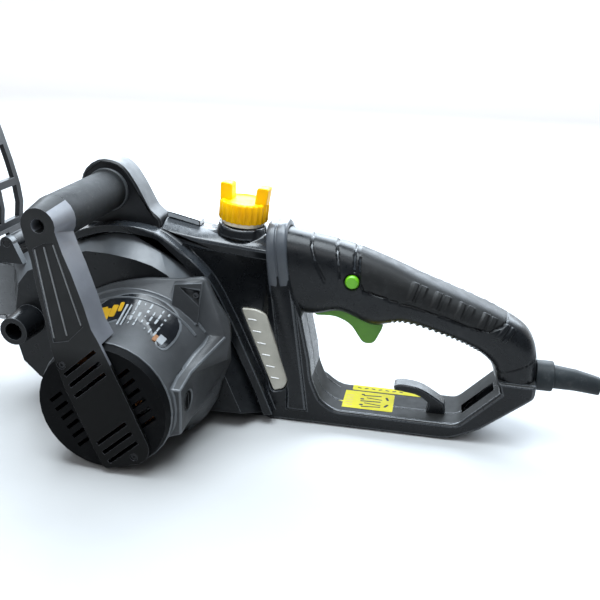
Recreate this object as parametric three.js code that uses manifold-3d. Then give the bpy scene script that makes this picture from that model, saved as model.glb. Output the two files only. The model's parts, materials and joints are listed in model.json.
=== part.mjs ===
// Corded electric chain saw with the motor across the body.
// Millimetres. +X runs forward to the bar nose, +Y to the operator's left, +Z up.
// The origin is on the flat underside, straight below the motor shaft.
import * as THREE from "three";
import { mergeVertices } from "three/addons/utils/BufferGeometryUtils.js";
import Module from "manifold-3d";

const wasm = await Module();
wasm.setup();

// ---------------------------------------------------------------- driving dimensions
const clear = 0.3; // gap between neighbouring pieces
const motorZ = 54; // motor shaft height above the base
const casingRadius = 52.5;
const casingRight = 44.3; // where the casing meets the gear case
const casingLeft = 118;
const capRadius = 50;
const capLeft = 125;
const armLeft = 128; // outer face of the left arm
const armRight = 105; // its thick part starts here
const tube = { x: 33, z: 193, radius: 16 }; // front handle
const bodyLeft = 19;
const bodyRight = -26;
const gearModule = 1.5;
const pinionTeeth = 12;
const driveTeeth = 36;
const gearCentres = ((pinionTeeth + driveTeeth) * gearModule) / 2;
const outputX = 30; // output shaft, ahead of the motor shaft
const outputZ = motorZ + Math.sqrt(gearCentres ** 2 - outputX ** 2);
const barY = -33.5; // middle plane of the guide bar
const barThick = 4;
const barNoseX = 508; // centre of the nose
const barNoseRadius = 22;
const cutterPitch = 38.1;
const capAxis = { x: -74, z: 162, tilt: THREE.MathUtils.degToRad(-6) }; // oil filler, leans back
const guardPivot = { x: 116, z: 147 };
const lockButton = { x: -169, z: 132 };
const glandZ = 58.5;
const cordRadius = 4;

// ---------------------------------------------------------------- solids
function solid(geometry) {
  const bare = geometry.clone();
  bare.deleteAttribute("normal");
  bare.deleteAttribute("uv");
  const merged = mergeVertices(bare, 1e-4);
  const corners = merged.index.array;
  const kept = [];
  for (let i = 0; i < corners.length; i += 3) {
    const [a, b, c] = corners.subarray(i, i + 3);
    if (a !== b && b !== c && c !== a) kept.push(a, b, c);
  }
  const build = (triVerts) =>
    new wasm.Manifold(
      new wasm.Mesh({ numProp: 3, vertProperties: merged.attributes.position.array, triVerts }),
    );
  const made = build(new Uint32Array(kept));
  return made.volume() > 0 ? made : build(new Uint32Array(kept.reverse()));
}

const join = (...solids) => solids.reduce((all, next) => all.add(next));
const cut = (from, ...tools) => tools.reduce((left, tool) => left.subtract(tool), from);

function geometryOf(manifold) {
  const mesh = manifold.getMesh();
  const made = new THREE.BufferGeometry();
  const position = new Float32Array(mesh.vertProperties);
  made.setAttribute("position", new THREE.BufferAttribute(position, 3));
  made.setIndex(new THREE.BufferAttribute(new Uint32Array(mesh.triVerts), 1));
  return made;
}

// An outline from corners [u, v, setback]: a setback rounds the corner off, by up to half a side.
function outline(corners) {
  const shape = new THREE.Shape();
  corners.forEach(([u, v, wanted = 0], i) => {
    const corner = new THREE.Vector2(u, v);
    const start = new THREE.Vector2(...corners.at(i - 1).slice(0, 2)).sub(corner);
    const end = new THREE.Vector2(...corners[(i + 1) % corners.length].slice(0, 2)).sub(corner);
    const setback = Math.min(wanted, 0.49 * start.length(), 0.49 * end.length());
    start.setLength(setback).add(corner);
    end.setLength(setback).add(corner);
    if (i === 0) shape.moveTo(start.x, start.y);
    else shape.lineTo(start.x, start.y);
    if (setback > 0) shape.quadraticCurveTo(u, v, end.x, end.y);
  });
  return shape;
}

// A shape drawn in (X, Z), from y0 to y1.
function slab(shape, y0, y1, steps = 3) {
  const options = { depth: y1 - y0, bevelEnabled: false, curveSegments: steps };
  const made = new THREE.ExtrudeGeometry(shape, options);
  return solid(made.rotateX(Math.PI / 2).translate(0, y1, 0));
}

// The same with its two rims chamfered.
function chamferedSlab(shape, y0, y1, chamfer, steps = 3) {
  const made = new THREE.ExtrudeGeometry(shape, {
    depth: y1 - y0 - 2 * chamfer,
    bevelThickness: chamfer,
    bevelSize: chamfer,
    bevelOffset: -chamfer,
    bevelSegments: 1,
    curveSegments: steps,
  });
  return solid(made.rotateX(Math.PI / 2).translate(0, y1 - chamfer, 0));
}

function block(x0, x1, y0, y1, z0, z1) {
  const made = new THREE.BoxGeometry(x1 - x0, y1 - y0, z1 - z0);
  return solid(made.translate((x0 + x1) / 2, (y0 + y1) / 2, (z0 + z1) / 2));
}

// A round bar along Y at (x, z), its radius at y0 first.
function rodY(x, z, y0, y1, radius, endRadius = radius, sides = 20) {
  const made = new THREE.CylinderGeometry(endRadius, radius, y1 - y0, sides);
  return solid(made.translate(x, (y0 + y1) / 2, z));
}

function rodX(y, z, x0, x1, radius, endRadius = radius, sides = 16) {
  const made = new THREE.CylinderGeometry(endRadius, radius, x1 - x0, sides).rotateZ(-Math.PI / 2);
  return solid(made.translate((x0 + x1) / 2, y, z));
}

// A solid of revolution about an axis along Y at (x, z), from points [radius, y].
function turned(x, z, points, sides = 32) {
  const profile = points.map(([radius, y]) => new THREE.Vector2(radius, y));
  return solid(new THREE.LatheGeometry(profile, sides).translate(x, 0, z));
}

const ringY = (x, z, y0, y1, inner, outer, sides = 20) =>
  turned(x, z, [[inner, y0], [outer, y0], [outer, y1], [inner, y1], [inner, y0]], sides);

// A skin through rings of equally many points, closed by flat ends.
function loft(rings) {
  const count = rings[0].length;
  const position = rings.flat().flatMap((p) => [p.x, p.y, p.z]);
  const index = [];
  for (let ring = 0; ring + 1 < rings.length; ring++) {
    for (let k = 0; k < count; k++) {
      const a = ring * count + k;
      const b = ring * count + ((k + 1) % count);
      index.push(a, b, a + count, b, b + count, a + count);
    }
  }
  const flat = rings[0].map((p) => new THREE.Vector2(p.x + 0.001 * p.y, p.z + 0.002 * p.y));
  const across = rings[0].map((p) => new THREE.Vector2(p.y, p.z));
  const drawn = THREE.ShapeUtils.area(flat) ** 2 > THREE.ShapeUtils.area(across) ** 2 ? flat : across;
  const last = (rings.length - 1) * count;
  const forward = THREE.ShapeUtils.area(drawn) > 0;
  THREE.ShapeUtils.triangulateShape(drawn, []).forEach(([a, b, c]) => {
    const face = forward ? [a, b, c] : [c, b, a];
    index.push(...face.map((k) => k + last));
    index.push(...face.reverse());
  });
  const made = new THREE.BufferGeometry();
  made.setAttribute("position", new THREE.Float32BufferAttribute(position, 3));
  made.setIndex(index);
  return solid(made);
}

const object = new THREE.Group();
object.name = "chain_saw";

function add(name, manifold, color, roughness, metalness = 0) {
  const look = new THREE.MeshStandardMaterial({ color, roughness, metalness });
  const mesh = new THREE.Mesh(geometryOf(manifold), look);
  mesh.name = name;
  object.add(mesh);
}

// ---------------------------------------------------------------- housing halves
const archOuter = [
  [-108, 10], [-99, 33], [-84, 69], [-72, 96], [-60, 120], [-48, 136], [-31, 151],
  [-15, 162], [1, 167], [27, 168], [49, 163], [66, 156],
];
const archInner = [
  [-100, 8], [-92, 31], [-77, 66], [-65, 92], [-53, 115], [-42, 130], [-26, 144.5],
  [-12, 155], [2, 160], [27, 161.5], [47, 157], [61, 151.5],
];

function archShape() {
  const inner = archInner.slice().reverse();
  const shape = new THREE.Shape();
  shape.moveTo(...archOuter[0]);
  shape.splineThru(archOuter.slice(1).map(([x, z]) => new THREE.Vector2(x, z)));
  shape.lineTo(...inner[0]);
  shape.splineThru(inner.slice(1).map(([x, z]) => new THREE.Vector2(x, z)));
  return shape;
}

const bodyShape = outline([
  [-120, 0], [88, 0, 14], [116, 14, 12], [126, 42, 14], [128, 96, 12], [124, 134, 10],
  [104, 140, 8], [56, 158, 8], [-14, 159], [-98, 148], [-120, 120],
]);

// Deck with sloping shoulders: [x, shoulder height, ridge height].
const deckSections = [[-100, 153, 161], [-46, 157.5, 163], [-11.7, 164, 170]];
const deckFascia = 8;
const deckLeft = 22;
const deckRight = -24;
const deckRidge = 8;
const deck = loft(
  deckSections.map(([x, shoulder, ridge]) => [
    new THREE.Vector3(x, deckRight, shoulder - deckFascia),
    new THREE.Vector3(x, deckLeft, shoulder - deckFascia),
    new THREE.Vector3(x, deckLeft, shoulder),
    new THREE.Vector3(x, deckRidge, ridge),
    new THREE.Vector3(x, -deckRidge, ridge),
    new THREE.Vector3(x, deckRight, shoulder),
  ]),
);

const collarShape = outline([
  [-100.5, 134], [-105, 112], [-110, 67], [-118, 30], [-118, 12], [-136, 12], [-131, 50],
  [-123, 112], [-118.5, 134],
]);
const postShape = outline([
  [-100, 150], [-100, 0], [-160, 0], [-160, 15], [-147, 23, 6], [-139, 42, 6],
  [-137, 60], [-129, 98], [-114, 150],
]);
const guardBarShape = outline([
  [-110, 0], [-256, 0, 8], [-280, 12], [-320, 46, 4], [-320, 58], [-290, 58], [-293, 48],
  [-262, 15, 5], [-158, 15, 8], [-141, 28, 6], [-110, 28],
]);
const guardLeft = 22;
const guardRight = -30;

// Rear handle sections: top point, underside point, half width.
const gripSections = [
  [[-106, 168], [-112, 97], 22],
  [[-135, 163], [-138, 97], 20.5],
  [[-165, 157], [-160, 103], 20],
  [[-195, 147], [-184, 101], 20],
  [[-225, 135], [-212, 98.5], 20],
  [[-255, 124], [-243, 90], 20],
  [[-285, 112], [-268, 81], 20],
  [[-308, 99], [-283, 70], 19.5],
  [[-318, 80], [-288, 58], 19],
  [[-320, 50], [-291, 50], 19],
];
const gripRingPoints = 14;
const gripSquareness = 0.78; // 1 is an ellipse, less is squarer

const collarRings = [
  [[-98, 170.5], [-105, 100], 23.5],
  [[-112.5, 172.5], [-121, 100], 23.5],
];

function gripRing([[topX, topZ], [lowX, lowZ], halfWidth], inset) {
  const middle = new THREE.Vector3((topX + lowX) / 2, 0, (topZ + lowZ) / 2);
  const up = new THREE.Vector3(topX - lowX, 0, topZ - lowZ);
  const halfHeight = up.length() / 2 - inset;
  up.normalize();
  const ring = [];
  for (let k = 0; k < gripRingPoints; k++) {
    const angle = (2 * Math.PI * k) / gripRingPoints;
    const square = (value) => Math.sign(value) * Math.abs(value) ** gripSquareness;
    const point = middle.clone().addScaledVector(up, halfHeight * square(Math.sin(angle)));
    point.y = (halfWidth - inset) * square(Math.cos(angle));
    ring.push(point);
  }
  return ring;
}

const gripSkin = (inset, first, last) =>
  loft(gripSections.slice(first, last).map((section) => gripRing(section, inset)));

const coverThick = 3;
const wall = 4;
const coverShape = outline([
  [-178, 126], [-208, 118], [-240, 110], [-266, 103], [-284, 103], [-292, 120], [-230, 160],
  [-178, 170],
]);
const coverZone = slab(coverShape, -30, 30);
const coverPocket = coverZone.intersect(cut(gripSkin(-2, 0, 10), gripSkin(coverThick + clear, 0, 10)));

const windowShape = outline([
  [-78, 101, 3], [-91, 101, 4], [-100, 97, 4], [-119, 38, 4], [-115, 30, 3], [-106, 27, 3],
]);
const windowPocket = outline([
  [-77.6, 101.5, 3], [-91, 101.5, 4], [-100.4, 97.4, 4], [-119.6, 38, 4], [-115.3, 29.5, 3],
  [-105.6, 26.5, 3],
]);
const hingeRadius = 6;
const lugFoot = outline([[103, 130], [126, 130], [122, 147], [110, 147]]);
const guardLug = (y0, y1) =>
  join(rodY(guardPivot.x, guardPivot.z, y0, y1, hingeRadius), slab(lugFoot, y0, y1));
const capHousing = new THREE.CylinderGeometry(19.5, 21, 9, 28).rotateX(Math.PI / 2);
const placeOnCap = (geometry) =>
  geometry.rotateY(capAxis.tilt).translate(capAxis.x, 0, capAxis.z);
const neckBoss = solid(placeOnCap(capHousing.translate(0, 0, 1.5)));
const neckHole = solid(
  placeOnCap(new THREE.CylinderGeometry(16.3, 16.3, 60, 28).rotateX(Math.PI / 2)),
);

const triggerHalfWidth = 7;
const tensionY = -20;
const tensionZ = 50;
const studX = 84;
const pump = { x: -12, z: 62, radius: 9 };
const drumRadius = 26;
const cableSlot = outline([[-262, 22], [-285, 47], [-314, 20], [-291, -5]]);

const housing = cut(
  join(
    slab(bodyShape, bodyRight, bodyLeft),
    slab(archShape(), bodyLeft - clear / 2, 32, 2),
    deck,
    chamferedSlab(collarShape, -24, 24, 1.5),
    loft(collarRings.map((section) => gripRing(section, 0))),
    chamferedSlab(postShape, -22, 22, 2),
    chamferedSlab(guardBarShape, guardRight, guardLeft, 2),
    gripSkin(0, 0, 10),
    neckBoss,
    guardLug(3, 11.7),
  ),
  cut(gripSkin(wall + coverThick, 1, 9)), // handle interior
  coverPocket,
  block(-201, -134, -triggerHalfWidth - 1, triggerHalfWidth + 1, 80, 125), // trigger slot
  slab(cableSlot, -6, 6), // lead slot through the rear corner
  block(-108, -44, -20, 14, 10, 146), // tank room
  slab(windowPocket, 10, 30),
  neckHole,
  rodY(outputX, outputZ, bodyRight - 1, bodyLeft + 1, 7), // output shaft passage
  rodY(outputX, outputZ, 11, bodyLeft + 1, 14.15), // output bearing seat
  rodY(outputX, outputZ, bodyRight - 1, -8, 31), // brake room
  block(28, 62, -23, -12, 96, 112), // brake band anchor
  rodX(tensionY, tensionZ, 66, 130, 2.9),
  rodX(tensionY, tensionZ, 112, 130, 4.6),
  block(70, 98, bodyRight - 1, tensionY + 7, tensionZ - 6, tensionZ + 11),
  rodY(studX, outputZ, bodyRight - 1, -10, 4.3),
  rodY(pump.x, pump.z, bodyRight - 1, -8, pump.radius + clear),
  rodY(guardPivot.x, guardPivot.z, -10, bodyLeft + 1, 3.15),
  rodY(lockButton.x, lockButton.z, 0, 30, 6.1),
  rodX(0, glandZ, -330, -300, 8.3),
);
const partingY = 3; // the halves meet a little to the left, so that the base has one middle
const half = (y0, y1) => housing.intersect(block(-400, 300, y0, y1, -50, 300));
add("housing_left", half(partingY + clear / 2, 60), 0x17181b, 0.55);
add("housing_right", half(-60, partingY - clear / 2), 0x17181b, 0.55);

add(
  "grip_cover",
  coverZone.intersect(cut(gripSkin(0, 0, 10), gripSkin(coverThick, 0, 10)))
    .subtract(cut(block(-400, 0, -30, 30, 0, 300), slab(outline([
      [-178.4, 127], [-208, 118.6], [-240, 110.6], [-266, 103.5], [-283.6, 103.5], [-291, 119.6],
      [-230, 159], [-178.4, 169],
    ]), -30, 30))),
  0x141517,
  0.75,
);

// ---------------------------------------------------------------- oil system
const tankShape = outline([
  [-107, 12, 4], [-46, 12, 4], [-46, 118, 6], [-56, 145, 4], [-92, 145, 4], [-107, 110, 6],
]);
const tankRoom = outline([
  [-104, 15, 3], [-49, 15, 3], [-49, 116, 6], [-58, 142, 3], [-90, 142, 3], [-104, 109, 6],
]);
const neckTop = 10; // above the deck, along the filler axis
const upright = (radius, from, to, sides = 24) =>
  new THREE.CylinderGeometry(radius, radius, to - from, sides)
    .rotateX(Math.PI / 2)
    .translate(0, 0, (from + to) / 2);
const onCap = (radius, from, to, sides) => solid(placeOnCap(upright(radius, from, to, sides)));
const tankBody = join(slab(tankShape, -19.5, 9.7), onCap(15.5, -22, 5), onCap(15.9, 1, neckTop - 4));
add(
  "oil_tank",
  cut(tankBody, slab(tankRoom, -16.5, 6.7), onCap(12.5, -30, neckTop + 5)),
  0x8d8a7c,
  0.4,
);
add("oil_level_window", chamferedSlab(windowShape, 10.3, 20.6, 0.8, 5), 0xc9c5b4, 0.35);
add("oil_cap_seal", cut(onCap(17, neckTop - 3.6, neckTop - 0.3), onCap(12.4, 0, 20)), 0xe4dcc0, 0.6);

const capKnurls = 20;
const capBody = new THREE.Shape();
for (let k = 0; k < 2 * capKnurls; k++) {
  const angle = (Math.PI * k) / capKnurls;
  const radius = k % 2 ? 19 : 20;
  if (k === 0) capBody.moveTo(radius, 0);
  else capBody.lineTo(radius * Math.cos(angle), radius * Math.sin(angle));
}
const capHeight = 16;
const hornHeight = 13;
const capOptions = { depth: capHeight, bevelEnabled: false };
const capDisc = new THREE.ExtrudeGeometry(capBody, capOptions).translate(0, 0, neckTop);
const horn = (side) =>
  solid(
    placeOnCap(
      new THREE.BoxGeometry(8, 11, hornHeight + 1)
        .translate(side * 15, 0, neckTop + capHeight + hornHeight / 2 - 0.5),
    ),
  );
add(
  "oil_cap",
  join(solid(placeOnCap(capDisc)), horn(1), horn(-1), onCap(12, -4, neckTop + 1)),
  0xf0a80c,
  0.45,
);
add(
  "oil_pump",
  join(
    rodY(pump.x, pump.z, -24, -9, pump.radius),
    rodY(pump.x, pump.z, -25.6, -23, 4),
  ),
  0xd8d8d4,
  0.5,
);

// ---------------------------------------------------------------- gear case
const caseBack = [
  [-97, 8], [-90, 28], [-75, 64], [-63, 91], [-51, 114], [-40, 129], [-25, 143], [-11, 153.4],
  [2, 158], [27, 159.6], [46, 155], [61, 149], [84, 142], [106, 137], [121, 128], [124, 98],
  [124, 48], [118, 30], [102, 16], [72, 4],
];
const caseFront = [
  [-84, 15], [-77, 32], [-64, 64], [-54, 88], [-45, 106], [-37, 120], [-24, 133.6], [-12, 140],
  [2, 144], [24, 147.4], [44, 148], [56, 144], [80, 134], [98, 126], [108, 114], [113, 92],
  [115, 56], [112, 42], [98, 28], [70, 12],
];
const caseRing = (points, y) => points.map(([x, z]) => new THREE.Vector3(x, y, z));
const frontBoss = { x: 101, z: 82, left: 70, radius: 12 };
const gearRoom = outline([
  [-16, 44, 8], [-14, 66, 6], [4, 96, 14], [30, 108, 16], [56, 100, 16], [62, 74, 16],
  [54, 50, 14], [30, 42, 10], [0, 36, 12],
]);
add(
  "gear_case",
  cut(
    join(
      loft([caseRing(caseBack, bodyLeft + clear), caseRing(caseBack, 26), caseRing(caseFront, 44)]),
      rodY(frontBoss.x, frontBoss.z, 36, frontBoss.left, frontBoss.radius + 2, frontBoss.radius),
      guardLug(34.3, 41),
    ),
    slab(gearRoom, bodyLeft, 38),
    rodY(guardPivot.x, guardPivot.z, 30, 50, 3.15),
    rodY(frontBoss.x, frontBoss.z, 54, 80, 7.5),
    rodY(0, motorZ, 30, 50, 11.15),
    rodY(outputX, outputZ, 30, 41, 6.3),
  ),
  0x1c1e22,
  0.5,
);

// ---------------------------------------------------------------- motor
const flangeShape = outline([
  [-40, 4, 6], [40, 4, 10], [62, 30, 14], [68, 70, 18], [54, 108, 18], [22, 124, 14],
  [-10, 131, 10], [-34, 132, 4], [-57, 136, 4], [-66, 116, 4], [-76, 100, 5], [-77, 86, 8],
  [-72, 58, 12], [-58, 24, 10],
]);
const casingProfile = [
  [0, casingRight], [69, casingRight], [69, 52], [66, 60], [60, 72], [54.5, 86],
  [casingRadius, 98], [casingRadius, casingLeft], [0, casingLeft],
];
const casingInside = [[0, 48], [47.8, 48], [47.8, 119], [0, 119]];
const earGusset = outline([[-57, 134], [-34, 131], [-30, 108], [-52, 98]]);
const brushY = 97;
const boxRing = (y, x, tuck, top, low) =>
  [[x + tuck, low], [x, (top + low) / 2], [x, top], [-40, top], [-40, low - 6]].map(
    ([u, v]) => new THREE.Vector3(u, y, v));
const brushBox = loft([
  boxRing(casingRight, -76, 9, 90, 40),
  boxRing(88, -58, 1, 74, 34),
  boxRing(112, -57, 1, 70, 32),
]);
const belowBase = block(-200, 200, 0, 200, -60, 0);
add(
  "motor_casing",
  cut(
    join(
      turned(0, motorZ, casingProfile, 32),
      slab(flangeShape, casingRight, 50),
      slab(earGusset, casingRight, 56),
      brushBox,
    ),
    turned(0, motorZ, casingInside, 32),
    rodY(0, motorZ, 40, 60, 12.5),
    rodX(brushY, motorZ, -70, 70, 5.6),
    rodX(brushY, motorZ, -70, -52, 7.6),
    rodX(brushY, motorZ, 50, 70, 7.6),
    belowBase,
  ),
  0x2b2d31,
  0.5,
  0.1,
);

// Air slots slope across the end cap, all at one angle, in rows from one point to another.
const slotSlope = THREE.MathUtils.degToRad(41);
const slotWidth = 3.2;
function ventRow(from, to, count, length, y0, y1) {
  return Array.from({ length: count }, (_, k) => {
    const x = from[0] + ((to[0] - from[0]) * k) / (count - 1);
    const z = from[1] + ((to[1] - from[1]) * k) / (count - 1);
    const made = new THREE.BoxGeometry(length, y1 - y0, slotWidth).rotateY(slotSlope);
    return solid(made.translate(x, (y0 + y1) / 2, z));
  });
}
const bandVents = (y0, y1) => [
  ...ventRow([12.5, 92], [6, 75], 3, 34, y0, y1),
  ...ventRow([-7.5, 36], [-15.5, 21], 3, 32, y0, y1),
];
const sideVents = [
  ...ventRow([36, 60], [17, 24], 6, 13, 117, 130),
  ...ventRow([-18, 85], [-36, 48], 6, 15, 117, 130),
];
add(
  "motor_end_cap",
  cut(
    join(
      rodY(0, motorZ, casingLeft + clear, capLeft, capRadius + 1.5, capRadius, 36),
      rodY(0, motorZ, 107, casingLeft + 2, 15),
    ),
    rodY(0, motorZ, 100, 116, 11.15),
    ...bandVents(118, 130),
    ...sideVents,
  ),
  0x121315,
  0.6,
);

const stackRight = 56;
const stackLeft = 84;
const poleHalfAngle = 0.8;
const sector = (inner, outer, middle, halfAngle) => {
  const shape = new THREE.Shape();
  shape.absarc(0, motorZ, outer, middle - halfAngle, middle + halfAngle, false);
  shape.absarc(0, motorZ, inner, middle + halfAngle, middle - halfAngle, true);
  return shape;
};
const up = Math.PI / 2;
add(
  "stator_core",
  join(
    ringY(0, motorZ, stackRight, stackLeft, 40, 47.4, 32),
    slab(sector(27, 41, up, poleHalfAngle), stackRight, stackLeft, 5),
    slab(sector(27, 41, -up, poleHalfAngle), stackRight, stackLeft, 5),
  ),
  0x6d6f72,
  0.45,
  0.8,
);
function fieldCoil(middle) {
  const whole = slab(sector(29, 39.6, middle, poleHalfAngle + 0.36), stackRight - 4, stackLeft + 4, 5);
  const pole = slab(
    sector(20, 60, middle, poleHalfAngle + 0.02),
    stackRight - clear,
    stackLeft + clear,
    5,
  );
  return whole.subtract(pole);
}
add("field_coil_upper", fieldCoil(up), 0xa4562a, 0.4, 0.6);
add("field_coil_lower", fieldCoil(-up), 0xa4562a, 0.4, 0.6);

const armatureSlots = 8;
const aroundShaft = (make) =>
  Array.from({ length: armatureSlots }, (_, k) => {
    const turn = new THREE.Matrix4()
      .makeTranslation(0, 0, motorZ)
      .multiply(new THREE.Matrix4().makeRotationY((2 * Math.PI * k) / armatureSlots));
    return solid(make().applyMatrix4(turn));
  });
const slotTool = () => new THREE.BoxGeometry(7, 40, 8).translate(0, 70, 20);
const slotBar = () => new THREE.BoxGeometry(6.4, stackLeft - stackRight + 4, 7).translate(0, 70, 19.8);
add(
  "armature_core",
  cut(ringY(0, motorZ, stackRight, stackLeft, 4.15, 26.2, 24), ...aroundShaft(slotTool)),
  0x77797c,
  0.4,
  0.8,
);
add(
  "armature_winding",
  join(
    ringY(0, motorZ, stackRight - 4, stackRight - clear, 7, 23.4, 24),
    ringY(0, motorZ, stackLeft + clear, stackLeft + 4, 7, 23.4, 24),
    ...aroundShaft(slotBar),
  ),
  0xb4622c,
  0.4,
  0.6,
);
const shaftRadius = 4;
add(
  "rotor_shaft",
  rodY(0, motorZ, 25, 115.4, shaftRadius, shaftRadius, 20),
  0xb9bbbd,
  0.3,
  0.9,
);
add("commutator", ringY(0, motorZ, 91, 103, shaftRadius + 0.15, 11), 0xb87333, 0.35, 0.8);

const fanBlades = 9;
const fanBlade = (k) => {
  const turn = new THREE.Matrix4()
    .makeTranslation(0, 0, motorZ)
    .multiply(new THREE.Matrix4().makeRotationY((2 * Math.PI * k) / fanBlades));
  return solid(new THREE.BoxGeometry(1.6, 2.6, 26).translate(0, 50.4, 29).applyMatrix4(turn));
};
add(
  "cooling_fan",
  join(
    ringY(0, motorZ, 48.4, 49.6, shaftRadius + 0.15, 43, 28),
    ringY(0, motorZ, 48.4, 51, shaftRadius + 0.15, 9, 16),
    ...Array.from({ length: fanBlades }, (_, k) => fanBlade(k)).map((blade) =>
      blade.intersect(block(-60, 60, 49, 51.4, -60, 160)),
    ),
  ),
  0x25272a,
  0.5,
);
add("bearing_left", ringY(0, motorZ, 109, 115.6, shaftRadius + 0.15, 11), 0xc2c4c6, 0.3, 0.9);
add("bearing_right", ringY(0, motorZ, 38.3, 44, shaftRadius + 0.15, 11), 0xc2c4c6, 0.3, 0.9);

const brush = (side) => {
  const [near, far] = [11.4 * side, 34 * side].sort((a, b) => a - b);
  return block(near, far, brushY - 3.4, brushY + 3.4, motorZ - 3.4, motorZ + 3.4);
};
add("brush_front", brush(1), 0x2a2a2c, 0.8);
add("brush_rear", brush(-1), 0x2a2a2c, 0.8);
const brushCap = (x0, x1, slotX) =>
  cut(
    join(rodX(brushY, motorZ, x0, x1, 7.2), rodX(brushY, motorZ, ...[36 * Math.sign(x0), x0]
      .sort((a, b) => a - b), 5.3)),
    block(slotX - 1, slotX + 1, brushY - 1, brushY + 1, motorZ - 6, motorZ + 6),
  );
add("brush_cap_front", brushCap(50.6, 53.2, 53), 0x101113, 0.5);
add("brush_cap_rear", brushCap(-57.2, -52.4, -57), 0x101113, 0.5);

// ---------------------------------------------------------------- gears and output shaft
function gearShape(x, z, teeth, phase) {
  const pitchRadius = (teeth * gearModule) / 2;
  const tip = pitchRadius + 0.85 * gearModule;
  const root = pitchRadius - 1.2 * gearModule;
  const pitch = (2 * Math.PI) / teeth;
  const tooth = [[-0.27, root], [-0.1, tip], [0.1, tip], [0.27, root]];
  const shape = new THREE.Shape();
  for (let k = 0; k < teeth; k++) {
    tooth.forEach(([share, radius], i) => {
      const angle = phase + (k + share) * pitch;
      const u = x + radius * Math.cos(angle);
      const v = z + radius * Math.sin(angle);
      if (k + i === 0) shape.moveTo(u, v);
      else shape.lineTo(u, v);
    });
  }
  return shape;
}
const toOutput = Math.atan2(outputZ - motorZ, outputX);
add(
  "pinion",
  cut(slab(gearShape(0, motorZ, pinionTeeth, toOutput), 26, 37), rodY(0, motorZ, 20, 40, 4.15)),
  0x8b8d90,
  0.35,
  0.9,
);
const drivePhase = toOutput + Math.PI + Math.PI / driveTeeth;
const outputRadius = 6;
add(
  "drive_gear",
  cut(
    slab(gearShape(outputX, outputZ, driveTeeth, drivePhase), 27, 36),
    rodY(outputX, outputZ, 20, 40, outputRadius + 0.15),
  ),
  0x8b8d90,
  0.35,
  0.9,
);
add("output_shaft", rodY(outputX, outputZ, -42, 40.6, outputRadius), 0xb9bbbd, 0.3, 0.9);
add(
  "output_bearing",
  ringY(outputX, outputZ, 11.3, 18.7, outputRadius + 0.15, 14),
  0xc2c4c6,
  0.3,
  0.9,
);
const drumInside = [
  [outputRadius + 0.15, -24], [10, -24], [10, -13], [drumRadius - 3, -13], [drumRadius - 3, -24],
  [drumRadius, -24], [drumRadius, -9], [outputRadius + 0.15, -9], [outputRadius + 0.15, -24],
];
add("brake_drum", turned(outputX, outputZ, drumInside, 32), 0x808286, 0.4, 0.9);
const bandGap = new THREE.Vector2(outputX + 14, outputZ + 24.5);
add(
  "brake_band",
  join(
    cut(
      ringY(outputX, outputZ, -22, -13, drumRadius + 0.6, drumRadius + 2, 28),
      block(bandGap.x - 6, bandGap.x + 6, -30, 0, bandGap.y - 4, bandGap.y + 12),
    ),
    block(bandGap.x + 5, bandGap.x + 7, -22, -13, bandGap.y - 5, bandGap.y + 8),
  ),
  0x9a9c9f,
  0.4,
  0.9,
);

const sprocketTeeth = 6;
const sprocketShape = new THREE.Shape();
for (let k = 0; k < 4 * sprocketTeeth; k++) {
  const angle = ((k + 0.5) * Math.PI) / (2 * sprocketTeeth);
  const radius = k % 4 < 2 ? 16.2 : 11.5;
  const u = outputX + radius * Math.cos(angle);
  const v = outputZ + radius * Math.sin(angle);
  if (k === 0) sprocketShape.moveTo(u, v);
  else sprocketShape.lineTo(u, v);
}
add(
  "sprocket",
  cut(slab(sprocketShape, -37, -30), rodY(outputX, outputZ, -60, 0, outputRadius + 0.15)),
  0x6f7174,
  0.35,
  0.9,
);

// ---------------------------------------------------------------- bar, chain and cover
// The outline of a belt drawn tight round circles [x, height off the bar axis, radius].
function beltShape(circles, grow) {
  const points = circles.flatMap(([x, height, radius]) =>
    Array.from({ length: 20 }, (_, k) => {
      const angle = (2 * Math.PI * k) / 20;
      const reach = radius + grow;
      return [x + reach * Math.cos(angle), outputZ + height + reach * Math.sin(angle)];
    }),
  );
  points.sort((a, b) => a[0] - b[0] || a[1] - b[1]);
  const turn = (o, a, b) => (a[0] - o[0]) * (b[1] - o[1]) - (a[1] - o[1]) * (b[0] - o[0]);
  const chainOf = (list) =>
    list.reduce((hull, point) => {
      while (hull.length > 1 && turn(hull.at(-2), hull.at(-1), point) <= 0.01) hull.pop();
      return [...hull, point];
    }, []);
  const lower = chainOf(points).slice(0, -1);
  const upper = chainOf(points.slice().reverse()).slice(0, -1);
  return new THREE.Shape([...lower, ...upper].map(([u, v]) => new THREE.Vector2(u, v)));
}
const barMiddle = [220, 0, 28];
const barNose = [barNoseX, 0, barNoseRadius];
const barCircles = [[66, 18.4, 4], [66, -18.4, 4], barMiddle, barNose];
const chainCircles = [[outputX, 0, 17], [62, 19, 4], [62, -19, 4], barMiddle, barNose];
const barRight = barY - barThick / 2;
const barLeft = barY + barThick / 2;
const grooveHalf = 1.1;
const grooveDepth = 6.5;
const noseWheel = barNoseRadius - 1.5;
const groove = cut(
  slab(beltShape(barCircles, 4), barY - grooveHalf, barY + grooveHalf, 1),
  slab(beltShape(barCircles, -grooveDepth + 2.6), barY - 5, barY + 5, 1),
);
const pinZ = tensionZ;
const pinX = 84;
add(
  "guide_bar",
  cut(
    slab(beltShape(barCircles, 0), barRight, barLeft, 1),
    groove,
    ringY(barNoseX, outputZ, barY - grooveHalf, barY + grooveHalf, 5, noseWheel + 0.4, 32),
    slab(outline([[72, outputZ - 4.4, 3], [100, outputZ - 4.4, 3], [100, outputZ + 4.4, 3],
      [72, outputZ + 4.4, 3]]), -50, -20),
    rodY(pinX, pinZ + 6.5, -50, -20, 3.4, 3.4, 16),
  ),
  0xb4b7ba,
  0.35,
  0.85,
);

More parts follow.
